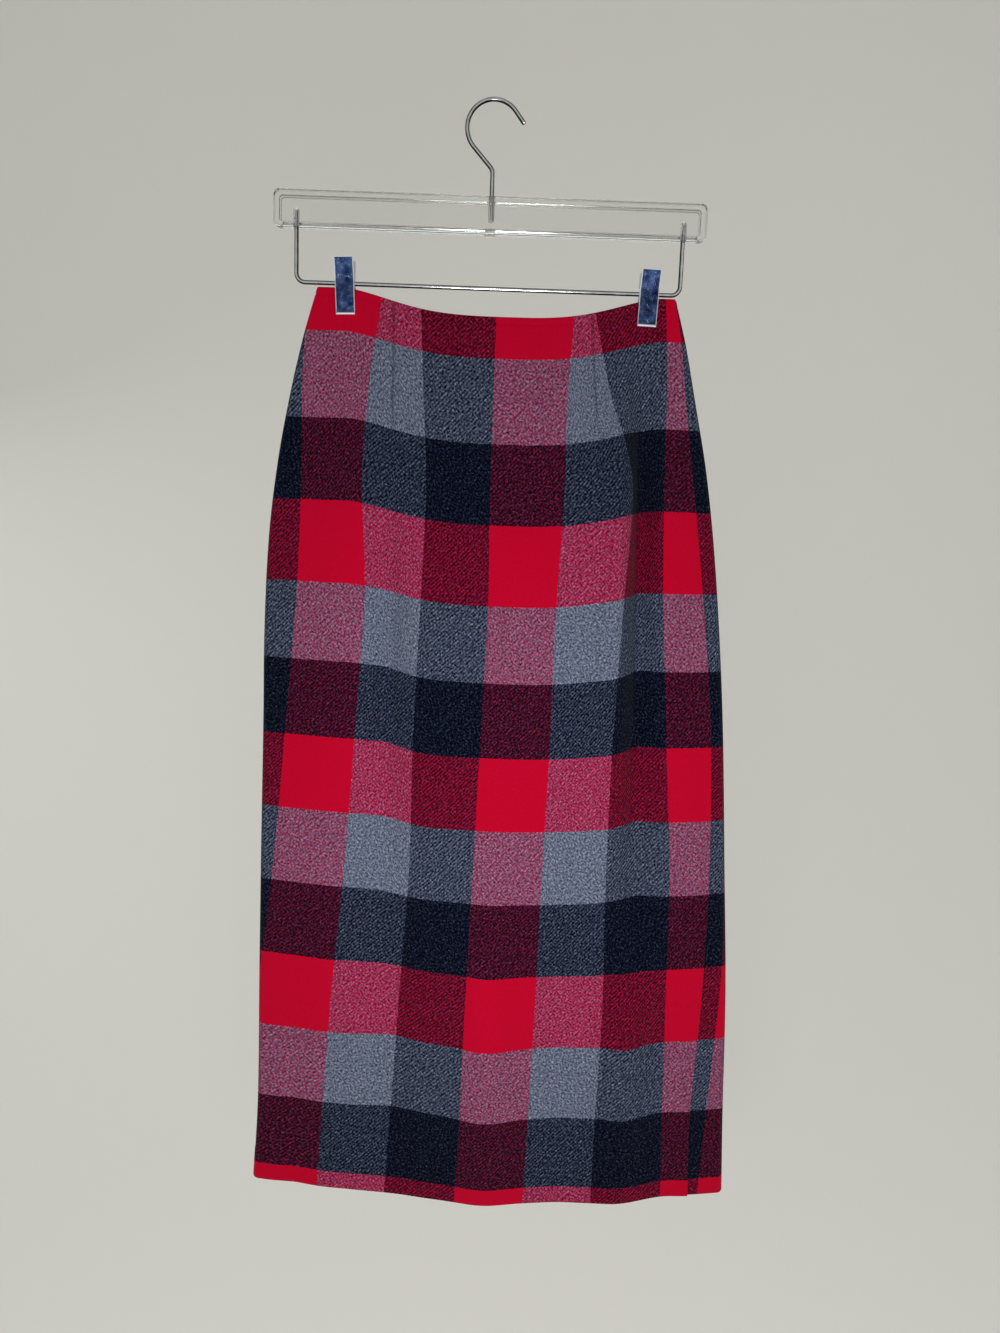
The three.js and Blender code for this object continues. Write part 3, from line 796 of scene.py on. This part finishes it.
def back_cut(points, x, v):
    """Length along the surface from the middle, with a jump at each dart by the cloth it hides."""
    s = arc_lengths(points)
    middle = np.array([np.interp(0.0, station, length) for station, length in zip(x, s)])[:, None]
    cuts = []
    for slack in (SLACK, -SLACK):
        u = s - middle
        for dart in BACK_DARTS:
            away = np.sign(dart["top"])
            hidden = dart["swallows"] * (1 - smooth(v / dart["length"]))
            u += away * hidden * ((x - dart_x(dart, v) - slack) * away > 0)
        cuts.append(u + COLUMN / 2)
    return cuts


def make_back():
    zones = [
        left_x,
        (lambda v: left_x(v) + CAP, 14, "open"),
        *dart_zones(BACK_DARTS[0], 20),
        *dart_zones(BACK_DARTS[1], 48),
        (lambda v: right_x(v) - CAP, 24, "even"),
        (right_x, 14, "close"),
    ]
    v, x, points, rows = panel_grid(BACK, zones)
    relief = waist_relief(v) + hem_relief(v) + sum(dart_relief(dart, x, v) for dart in BACK_DARTS)
    # The darts' lines, where the material paints a little shade.
    seam = sum(dart_line(dart, x, v) for dart in BACK_DARTS)
    return cloth_shell("back", points, BACK, (True, True), *back_cut(points, x, v), rows, 0.0, relief, seam)


back = dress(make_back(), tartan, "tartan_wool", "back_panel")

# %% [markdown]
# ## The wires
# The hook and the lower wire are one thickness of round wire bent in a plane. A bend of
# straight runs and arcs gives the line, and a circle carried along it gives the surface.
# The ends are rounded off so that they don't snag. The whole hanger hangs 2 degrees down
# to the right, so its pieces are shaped upright and then turned about the hook's top.

# %% Paths, tubes and turns
WIRE_RADIUS = 2
FORWARD = np.array([0.0, 1, 0])


def turned(points, angle, at=(0.0, 0.0, 0.0)):
    """Turned about the Y axis, so that +X dips towards -Z, and moved to a place."""
    x, y, z = points[..., 0], points[..., 1], points[..., 2]
    spun = np.stack([x * np.cos(angle) + z * np.sin(angle), y, z * np.cos(angle) - x * np.sin(angle)], -1)
    return spun + np.array(at)


def arc(x, z, radius, start, stop, steps):
    """Points of a circle in the XZ plane between two angles in degrees."""
    angle = np.radians(np.linspace(start, stop, steps + 1))
    return np.stack([x + radius * np.cos(angle), np.zeros_like(angle), z + radius * np.sin(angle)], -1)


def bent(corner_list, radius, steps=9):
    """A line through corners, each one rounded by an arc that touches both of its sides."""
    corner_list = np.asarray(corner_list, dtype=float)
    line = [corner_list[:1]]
    for before, corner, after in zip(corner_list, corner_list[1:], corner_list[2:]):
        behind = (before - corner) / np.linalg.norm(before - corner)
        ahead = (after - corner) / np.linalg.norm(after - corner)
        half_turn = (np.pi - np.arccos(np.clip(behind @ ahead, -1, 1))) / 2
        if half_turn < 1e-3:
            line.append(corner[None])
            continue
        reach = radius * np.tan(half_turn)
        centre = corner + (behind + ahead) / np.linalg.norm(behind + ahead) * radius / np.cos(half_turn)
        first = (corner + behind * reach - centre) / radius
        other = (corner + ahead * reach - centre) / radius
        share = np.linspace(0, 1, steps + 1)[:, None]
        swing = 2 * half_turn
        blend = np.sin((1 - share) * swing) * first + np.sin(share * swing) * other
        line.append(centre + radius * blend / np.sin(swing))
    line.append(corner_list[-1:])
    return np.concatenate(line)


def tube_rings(path, up, radius, sides=20, cap=5):
    """Circles along a path: centre + radius (cos a * side + sin a * up). Past each end the circles
    shrink like a ball's."""
    along = np.gradient(path, axis=0)
    along /= np.linalg.norm(along, axis=1, keepdims=True)
    up = np.broadcast_to(up, path.shape)
    side = np.cross(along, up)
    angle = np.linspace(0, 2 * np.pi, sides + 1)[:-1, None]
    circles = np.cos(angle) * side[:, None] + np.sin(angle) * up[:, None]
    ball = np.linspace(0, 0.46 * np.pi, cap + 1)[1:, None, None]
    head = path[0] - radius * np.sin(ball[::-1]) * along[0] + radius * np.cos(ball[::-1]) * circles[0]
    tail = path[-1] + radius * np.sin(ball) * along[-1] + radius * np.cos(ball) * circles[-1]
    return np.concatenate([head, path[:, None] + radius * circles, tail])


def facing_field(rings):
    """How squarely each point of an in-plane wire looks forwards or backwards: |sin| of its place on
    the circle."""
    angle = np.linspace(0, 2 * np.pi, rings.shape[1] + 1)[:-1]
    return np.broadcast_to(np.abs(np.sin(angle)), rings.shape[:2])


def skin(rings, outward=True):
    """Faces round a stack of rings, with one flat face on the first and on the last ring."""
    count, sides = rings.shape[:2]
    index = np.arange(count * sides).reshape(count, sides)
    walls = grid_quads(np.concatenate([index, index[:, :1]], axis=1))
    faces = [walls, index[:1], index[-1:, ::-1]]
    faces = faces if outward else [part[:, ::-1] for part in faces]
    return rings.reshape(-1, 3), faces


def join_parts(parts):
    """Several (vertices, faces) lists as one, with the vertex numbers moved on."""
    vertices, faces, start = [], [], 0
    for points, part_faces in parts:
        vertices.append(points)
        faces += [part + start for part in part_faces]
        start += len(points)
    return np.concatenate(vertices), faces


# %% [markdown]
# ## Metal
# Plated steel is a mirror with a little haze. It shows the room more than itself, and
# handling leaves faint streaks. The wire's colour holds a painted reflection: light where it
# faces front or back, dark on its sides in the plane of the hanger. The pressed plates of
# the clips look bluer and are scratched, and their ribs and lip are a pale steel that is in
# part a painted highlight.

# %% Metal finishes
SCRATCH_WIDTH = 0.004        # as a share of the noise's range


def make_wire_metal():
    """A painted reflection: light where the wire faces front or back, dark on its sides in the hanger's
    plane.
    """
    n = Nodes("bright_wire")
    place = n.add("TexCoord").outputs["Object"]
    haze = n.noise(place, 240, 3)
    # The colour is a painted reflection, set by how squarely the wire faces front or back.
    painted_reflection = n.ramp(n.math("MULTIPLY_ADD", haze, 0.12, n.math("SUBTRACT", n.field("face"), 0.06)),
                    [(0.74, srgb(8, 9, 12)), (0.88, srgb(104, 108, 114)), (0.96, srgb(240, 244, 248))])
    n.feed("Metallic", 1.0)
    n.feed("Base Color", painted_reflection)
    n.feed("Roughness", n.math("MULTIPLY_ADD", haze, 0.14, 0.08))
    n.bump(n.noise(place, 900, 2), 0.02 * MM, 0.3)
    return n.material


def scratch_lines(n, place, turn, scale, width):
    """Thin lines where a long-drawn noise passes through its middle value."""
    spin = n.add("Mapping")
    spin.inputs["Rotation"].default_value = (0, turn, 0)
    n.link(place, spin.inputs["Vector"])
    grain = n.noise(spin.outputs["Vector"], scale, 1, (1.0, 1.0, 6.0))
    off = n.math("ABSOLUTE", n.math("SUBTRACT", grain, 0.5))
    patch = n.noise(place, 260, 2)
    line = n.math("LESS_THAN", off, width)
    return n.math("MULTIPLY", line, n.math("GREATER_THAN", patch, 0.54))


def make_clip_metal():
    """Cloudy blue steel with two sets of crossing scratches, and pale steel where the field is 0, on the
    ribs and the lip: in part a painted highlight.
    """
    n = Nodes("clip_metal")
    place = n.add("TexCoord").outputs["Object"]
    cloud = n.noise(place, 150, 4)
    blue = n.ramp(cloud, [(0.32, srgb(22, 34, 66)), (0.5, srgb(48, 66, 108)), (0.68, srgb(80, 102, 148))])
    lines = n.math("MAXIMUM", *(scratch_lines(n, place, turn, scale, SCRATCH_WIDTH)
                                for turn, scale in ((0.5, 480), (-0.4, 640))))
    blue = n.mix(n.math("MULTIPLY", lines, 0.75), blue, srgb(206, 216, 236))
    # Ribs and lip are painted pale steel, which is in part a painted highlight.
    n.feed("Base Color", n.mix(n.field("field"), srgb(222, 225, 232), blue))
    n.feed("Metallic", 1.0)
    n.feed("Roughness", n.math("MULTIPLY_ADD", cloud, 0.3, 0.42))
    n.bump(n.math("SUBTRACT", n.noise(place, 300, 2), n.math("MULTIPLY", lines, 0.3)), 0.05 * MM, 0.4)
    return n.material


wire_metal = make_wire_metal()
clip_metal = make_clip_metal()
print("metals:", wire_metal.name, clip_metal.name)

# %% [markdown]
# ## The hook
# The hook opens to the right. Its tail leaves the circle as a straight run that touches
# it, bends once above the bar and goes down into it.

# %% The hook
HOOK_RADIUS, HOOK_X, HOOK_Z = 24.5, 0.8, -22.5
HOOK_TIP_ANGLE, HOOK_TIP_RUN, HOOK_TAIL_ANGLE = 38, 12, 222.9
SHANK_X, SHANK_BEND_Z, SHANK_FOOT_Z = 0.6, -58.3, -101.7


def hook_path():
    """From the tip: a short straight run, the curl, and the tail down into the bar."""
    curl = arc(HOOK_X, HOOK_Z, HOOK_RADIUS, HOOK_TIP_ANGLE, HOOK_TAIL_ANGLE, 54)
    tip = np.radians(HOOK_TIP_ANGLE - 90)
    run = HOOK_TIP_RUN * np.array([np.cos(tip), 0, np.sin(tip)])
    start = curl[0] + run * np.linspace(1, 0.12, 7)[:, None]
    tail = bent([curl[-1], (SHANK_X, 0, SHANK_BEND_Z), (SHANK_X, 0, SHANK_FOOT_Z)], 9)
    return np.concatenate([start, curl, tail[1:]])


def make_wire(name, path):
    """A round wire along a path in the plane of the hanger, tilted with it."""
    rings = tube_rings(path, FORWARD, WIRE_RADIUS, 24)
    piece = make_object(name, *skin(turned(rings, TILT)))
    # This field places the wire's painted reflection.
    set_field(piece, "face", facing_field(rings))
    print(name, round(float(np.linalg.norm(np.diff(path, axis=0), axis=1).sum())), "mm long")
    return piece


dress(make_wire("hook_wire", hook_path()), wire_metal, "bright_wire", "hook")

# %% [markdown]
# ## The lower wire
# One wire hangs from both ends of the bar and carries the clips. Its legs go down from
# inside the bar, turn through a small round corner and meet in a straight run.

# %% The lower wire
LEG_X, LEG_TOP_Z, RUN_Z, LOOP_CORNER = 179, -100.9, -162.7, 8
corners = [(-LEG_X, 0, LEG_TOP_Z), (-LEG_X, 0, RUN_Z), (LEG_X, 0, RUN_Z), (LEG_X, 0, LEG_TOP_Z)]
dress(make_wire("clip_rail", bent(corners, LOOP_CORNER)), wire_metal, "bright_wire", "lower_wire")

# %% [markdown]
# ## The clear bar
# The bar is moulded clear plastic: a thick rim all round and a thinner web inside it, with
# a small nib under the middle where the mould was filled. Clear plastic is only seen by
# its edges, so each edge is rounded, and the rim's rings carry a little painted shade. The
# wires sit in narrow holes that show as grey.

# %% The clear bar
BAR_HALF, BAR_TOP, BAR_BOTTOM, BAR_CORNER = 200, -81.7, -114.9, 6.5
RIM_SIDE, RIM_FOOT, RIM_CORNER = 6.5, 4, 3
RIM_Y, WEB_Y = 6, 4
# The grey that BAR_EDGE gives each ring of the rim is painted shade.
BAR_EDGE = np.array([0, 0.2, 0.6, 1, 1, 0.7, 0, 0, 0.5, 1, 1])   # how grey each ring of the rim looks
HOLE_RADIUS = 2.9
HOLE_WALL = 0.25             # plastic left past the round end of a hole
HOLE_SPARE = 0.3             # room past the wire's end


def rounded_ring(left, right, bottom, top, radius, y, steps=8):
    """A rectangle with round corners at one depth: four quarter circles, one after another."""
    turn = np.radians(np.linspace(0, 90, steps + 1))
    corner_x = [right - radius, left + radius, left + radius, right - radius]
    corner_z = [top - radius, top - radius, bottom + radius, bottom + radius]
    angle = turn[None, :] + np.radians([0, 90, 180, 270])[:, None]
    x = np.array(corner_x)[:, None] + radius * np.cos(angle)
    z = np.array(corner_z)[:, None] + radius * np.sin(angle)
    return np.stack([x, np.full_like(x, y), z], -1).reshape(-1, 3)


def outer_ring(inset, y):
    return rounded_ring(-BAR_HALF + inset, BAR_HALF - inset, BAR_BOTTOM + inset, BAR_TOP - inset,
                        BAR_CORNER - inset, y)


def web_ring(inset, y):
    return rounded_ring(-BAR_HALF + RIM_SIDE + inset, BAR_HALF - RIM_SIDE - inset,
                        BAR_BOTTOM + RIM_FOOT + inset, BAR_TOP - RIM_SIDE - inset, RIM_CORNER - inset, y)


def bar_rings():
    """Rings from the middle of the front, over the rim and round to the middle of the back."""
    web = [(1.4, WEB_Y), (0.9, WEB_Y), (0.35, WEB_Y + 0.2), (0.06, WEB_Y + 0.6), (-0.05, RIM_Y - 0.7),
           (-0.3, RIM_Y - 0.2), (-0.8, RIM_Y)]
    rim = [(1.6, RIM_Y), (0.75, RIM_Y - 0.2), (0.2, RIM_Y - 0.75), (0.0, RIM_Y - 1.6)]
    front_half = [web_ring(inset, -y) for inset, y in web] + [outer_ring(inset, -y) for inset, y in rim]
    return np.stack(front_half + [ring * (1, -1, 1) for ring in front_half[::-1]])


def hole(x, bottom, top):
    """A closed hollow inside the plastic: a capsule whose faces look inwards."""
    path = np.stack([np.full(5, x), np.zeros(5), np.linspace(bottom, top, 5)], -1)
    return skin(turned(tube_rings(path, FORWARD, HOLE_RADIUS, 20), TILT), outward=False)


def make_bar():
    """Rim and web, the nib below them, and the three holes, as one mesh."""
    nib = np.stack([rounded_ring(-5 + i, 5 - i, BAR_BOTTOM - 1.5 + i, BAR_BOTTOM + 0.1, 0.8 - i * 0.5, y)
                    for i, y in ((0.6, -4), (0.2, -3.85), (0, -3.4), (0, 3.4), (0.2, 3.85), (0.6, 4))])
    reach = HOLE_RADIUS + HOLE_WALL
    rings = bar_rings()
    parts = [skin(turned(rings, TILT)), skin(turned(nib, TILT)),
             hole(SHANK_X, SHANK_FOOT_Z - HOLE_SPARE, BAR_TOP - reach),
             *(hole(x, BAR_BOTTOM + reach, LEG_TOP_Z + HOLE_SPARE) for x in (-LEG_X, LEG_X))]
    piece = make_object("bar", *join_parts(parts))
    edge = np.broadcast_to(np.concatenate([BAR_EDGE, BAR_EDGE[::-1]])[:, None], rings.shape[:2])
    frost = np.arange(len(piece.data.vertices)) >= len(parts[0][0]) + len(parts[1][0])
    set_field(piece, "edge", edge)
    set_field(piece, "frost", frost.astype(float))
    return piece


def make_clear_plastic():
    """Clear, with painted shade that greys the rounded rim, a little duller there, and frosted on the walls
    of the holes.
    """
    n = Nodes("clear_bar")
    place = n.add("TexCoord").outputs["Object"]
    edge = n.field("edge")
    # The grey on the rim's rings is painted shade.
    n.feed("Base Color", n.ramp(edge, [(0.0, srgb(250, 251, 250)), (1.0, srgb(168, 172, 170))]))
    n.feed("Transmission Weight", 1.0)
    n.feed("IOR", 1.49)
    smear = n.math("MULTIPLY_ADD", edge, 0.12, n.math("MULTIPLY", n.noise(place, 60, 2), 0.04))
    n.feed("Roughness", n.math("MULTIPLY_ADD", n.field("frost"), 0.5, smear))
    n.bump(n.noise(place, 9, 0), 0.1 * MM, 0.2)
    return n.material


bar = dress(make_bar(), make_clear_plastic(), "clear_bar", "hanger_bar")
print("bar faces:", len(bar.data.polygons))

# %% [markdown]
# ## The clips
# Each clip is two pressed plates that pivot on the wire, with a spring coiled round it
# between them. A plate is a strip bent to a zigzag: jaw, neck and finger lever. Its edges
# are pressed up into ribs so that it doesn't buckle, the jaw ends in a folded lip, and
# two ears with holes reach back over the wire.

# %% The clips
CLIP_WIDTH, GRIP = 18, 5
NECK, NECK_LOW_Z, NECK_HIGH_Z, FLARE = 4.7, -8, 4, 4.8
PLATE, PLATE_EDGE, EAR_HOLE = 1.0, 0.5, 2.6
RIB_HEIGHT, RIB_WIDTH = 0.5, 0.6
LIP_HEIGHT, LIP_LENGTH = 1.1, 1.9
HALVES = {"front": (-1, 8.5), "back": (1, 7.2)}      # which way each faces, and how far out its ears are
COIL_TURNS, COIL_RADIUS, COIL_HALF, COIL_WIRE = 7, 2.66, 4.9, 0.33
CLIPS = [
    {"name": "left", "x": -138.9, "lean": 0.0, "above": 22.7, "below": 28.5, "front": 3.4, "back": 3.4},
    {"name": "right", "x": 144.3, "lean": 4.0, "above": 21.3, "below": 29.9, "front": 5.4, "back": 3.4},
]


def plate_line(clip, jaw):
    """The middle line of a plate from its jaw up to its lever, as distance out and height."""
    neck = max(NECK, jaw)
    foot = -clip["below"]
    inner = [(jaw, foot), (jaw, foot + GRIP), (neck, NECK_LOW_Z), (neck, NECK_HIGH_Z),
             (neck + FLARE, clip["above"])]
    line = bent([(0, out + PLATE / 2, z) for out, z in inner], 3.5, 6)
    length = np.pad(np.cumsum(np.linalg.norm(np.diff(line, axis=0), axis=1)), (1, 0))
    return line, length


def make_plate(clip, jaw, facing):
    """Plate as two faces half a thickness off its middle line, with ribs, a lip and round corners.
    Also a mask: 1 on the flat field that the ribs and the lip frame, 0 on them."""
    line, length = plate_line(clip, jaw)
    ends = PLATE_EDGE * crowd(3, "open")
    top = length[-1] - PLATE_EDGE
    body = np.linspace(ends[-1], top, 74)[1:]
    w = np.concatenate([[0], ends, body, top + PLATE_EDGE * crowd(3, "close")])
    out, z = np.interp(w, length, line[:, 1]), np.interp(w, length, line[:, 2])
    half = CLIP_WIDTH / 2
    edge = ends / half
    inside = np.linspace(-1 + edge[-1], 1 - edge[-1], 30)
    across = np.concatenate([[-1], -1 + edge[:-1], inside, 1 - edge[:-1][::-1], [1]])
    from_top = np.clip(1 - (length[-1] - w) / 2.0, 0, 1)
    width = half - 2.0 * (1 - np.sqrt(1 - from_top**2))
    x = across[None, :] * width[:, None]
    points = np.stack(np.broadcast_arrays(x, (out * facing)[:, None], z[:, None]), -1)
    slope_out, slope_z = np.gradient(out, w), np.gradient(z, w)
    size = np.hypot(slope_out, slope_z)
    normal = np.stack([np.zeros_like(w), slope_z / size * facing, -slope_out / size], -1)[:, None, :]
    side = (half - np.abs(x)) + (width[:, None] - half)
    to_edge = np.minimum(side, np.minimum(w, length[-1] - w)[:, None])
    sides_or_top = np.minimum(side, (length[-1] - w)[:, None])
    rib = RIB_HEIGHT * (1 - smooth((sides_or_top - RIB_WIDTH) / 0.5))
    lip = LIP_HEIGHT * (1 - smooth((w - LIP_LENGTH) / 0.5))[:, None]
    raised = np.maximum(rib, lip) * np.clip(to_edge / 0.35, 0, 1)
    thick = PLATE / 2 * np.sqrt(1 - (1 - np.clip(to_edge / PLATE_EDGE, 0, 1)) ** 2)
    field = smooth((sides_or_top - RIB_WIDTH - 0.15) / 0.3) * smooth((w - LIP_LENGTH) / 0.3)[:, None]
    vertices, quads = shell(points, normal, thick, raised, facing)
    return (vertices, [quads]), field


def make_ear(x, jaw, facing):
    """A plate with a hole, as rings: out to its outline in front, round it and back to the hole.
    The outline is a box towards the plate and an ellipse behind the wire."""
    neck = max(NECK, jaw) + 0.5
    angle = np.linspace(0, 2 * np.pi, 49)[:-1]
    cos, sin = np.cos(angle), np.sin(angle)
    box = np.minimum(neck / np.maximum(cos, 1e-6), 3.7 / np.maximum(np.abs(sin), 1e-6))
    ellipse = 1 / np.sqrt((cos / 3.1) ** 2 + (sin / 3.7) ** 2)
    outline = np.where(cos > 0, box, ellipse)
    by_hole, by_edge = EAR_HOLE + 0.15, outline - 0.2
    section = ((by_hole, 0.5), (by_edge, 0.5), (outline, 0.3), (outline, -0.3), (by_edge, -0.5),
               (by_hole, -0.5), (EAR_HOLE, -0.35), (EAR_HOLE, 0.35))
    rings = [np.stack([np.full_like(angle, x + depth * PLATE), facing * radius * cos, radius * sin], -1)
             for radius, depth in section]
    index = np.arange(len(rings) * len(angle)).reshape(len(rings), -1)
    index = np.concatenate([index, index[:1]], axis=0)
    quads = grid_quads(np.concatenate([index, index[:, :1]], axis=1))
    return np.concatenate(rings), [quads if facing > 0 else quads[:, ::-1]]


def on_wire(clip, points):
    """Leant as the clip leans, and moved to the clip's place on the tilted wire."""
    wire_z = RUN_Z / np.cos(TILT) - clip["x"] * np.tan(TILT)
    return turned(points, np.radians(clip["lean"]), (clip["x"], 0, wire_z))


def make_clip_half(clip, which):
    facing, ear_x = HALVES[which]
    plate, mask = make_plate(clip, clip[which], facing)
    ears = [make_ear(x, clip[which], facing) for x in (-ear_x, ear_x)]
    vertices, faces = join_parts([plate, *ears])
    piece = make_object(f"{clip['name']}_{which}_plate", on_wire(clip, vertices), faces)
    set_field(piece, "field", mask)
    return piece


def make_spring(clip):
    """A coil round the wire: a helix (along, R cos t, R sin t) whose radius R clears the wire."""
    turn = np.linspace(0, COIL_TURNS * 2 * np.pi, COIL_TURNS * 26 + 1)
    radial = np.stack([np.zeros_like(turn), np.cos(turn), np.sin(turn)], -1)
    along = np.linspace(-COIL_HALF, COIL_HALF, len(turn))
    path = radial * COIL_RADIUS + np.stack([along, 0 * turn, 0 * turn], -1)
    vertices, faces = skin(tube_rings(path, radial, COIL_WIRE, 8, 2))
    piece = make_object(f"{clip['name']}_coil", on_wire(clip, vertices), faces)
    # The coil takes one middle tone of the wire's painted reflection.
    set_field(piece, "face", np.full(len(vertices), 0.8))
    return piece


for clip in CLIPS:
    for which in ("front", "back"):
        dress(make_clip_half(clip, which), clip_metal, "clip_metal", f"{clip['name']}_clip_{which}")
    dress(make_spring(clip), wire_metal, "clip_metal", f"{clip['name']}_clip_spring")
print("clips:", [clip["name"] for clip in CLIPS])

# %% [markdown]
# ## The room
# The skirt hangs in front of a pale wall. A studio uses a sweep there, a floor that bends
# up into the wall, so that no edge shows behind. This one is turned about the skirt like a
# bowl, because the skirt is also looked at from behind and from the sides.

# %% The stage
PALE = srgb(226, 225, 220)
FLOOR_Z, FLOOR_RADIUS = -1.45, 0.9           # metres, as are all sizes of the room
SWEEP_OUT, SWEEP_UP, WALL_TOP = 3.3, 3.2, 6.0


def make_stage():
    """A floor that rises all round in one wide curve: a line of radius and height, turned about Z."""
    rise = np.linspace(0, np.pi / 2, 26)[1:]
    wall = FLOOR_RADIUS + SWEEP_OUT
    sweep = FLOOR_RADIUS + SWEEP_OUT * np.sin(rise)
    radius = np.concatenate([np.linspace(0, FLOOR_RADIUS, 6), sweep, [wall]])
    height = np.concatenate([np.zeros(6), SWEEP_UP * (1 - np.cos(rise)), [WALL_TOP]]) + FLOOR_Z
    turn = np.linspace(0, 2 * np.pi, 65)
    points = np.stack(np.broadcast_arrays(
        radius[:, None] * np.cos(turn), radius[:, None] * np.sin(turn), height[:, None]), -1)
    index = np.arange(points.shape[0] * points.shape[1]).reshape(points.shape[:2])
    stage = make_object("stage", points.reshape(-1, 3) / MM, [grid_quads(index)])
    n = Nodes("stage_paint")
    n.feed("Base Color", PALE)
    n.feed("Roughness", 0.9)
    stage.data.materials.append(n.material)
    print("room radius:", round(wall, 2), "m")


make_stage()

# %% [markdown]
# ## Light
# A small soft lamp stands just below the camera, as a flash does, so the front is lit
# evenly and the folds shade only on their far sides. Two weaker ones fill the right side
# and the back, one under the ceiling lights the room behind, and the world adds an even
# grey that keeps the shadows soft.

# %% Light


def add_lamp(name, at, towards, size, power):
    """A round lamp, in metres and watts. It shines along its own -Z, and two angles turn that to
    the aim: how far the aim is from straight down, and its bearing."""
    data = bpy.data.lights.new(name, "AREA")
    data.shape = "DISK"
    data.size = size
    data.energy = power
    lamp = bpy.data.objects.new(name, data)
    lamp.location = at
    direction = np.array(towards) - np.array(at)
    across = np.hypot(direction[0], direction[1])
    lamp.rotation_euler = (np.arctan2(across, -direction[2]), 0, np.arctan2(-direction[0], direction[1]))
    scene.collection.objects.link(lamp)


add_lamp("key", (-0.02, -0.88, -0.65), (0, 0, -0.68), 0.22, 4.9)
add_lamp("fill_right", (2.2, -1.0, 0.2), (0, 0, -0.6), 1.6, 5)
add_lamp("fill_back", (-2.4, 1.8, 1.0), (0, 0, -0.6), 1.6, 16)
add_lamp("ceiling", (0, 1.2, 3.2), (0, 1.2001, 0), 3.4, 60)
world = bpy.data.worlds.new("room")
world.use_nodes = True
sky = world.node_tree.nodes["Background"]
sky.inputs["Color"].default_value = srgb(240, 240, 240)
sky.inputs["Strength"].default_value = 0.37
scene.world = world
scene.view_settings.view_transform = "Standard"
print("lamps:", [light.name for light in bpy.data.lights])
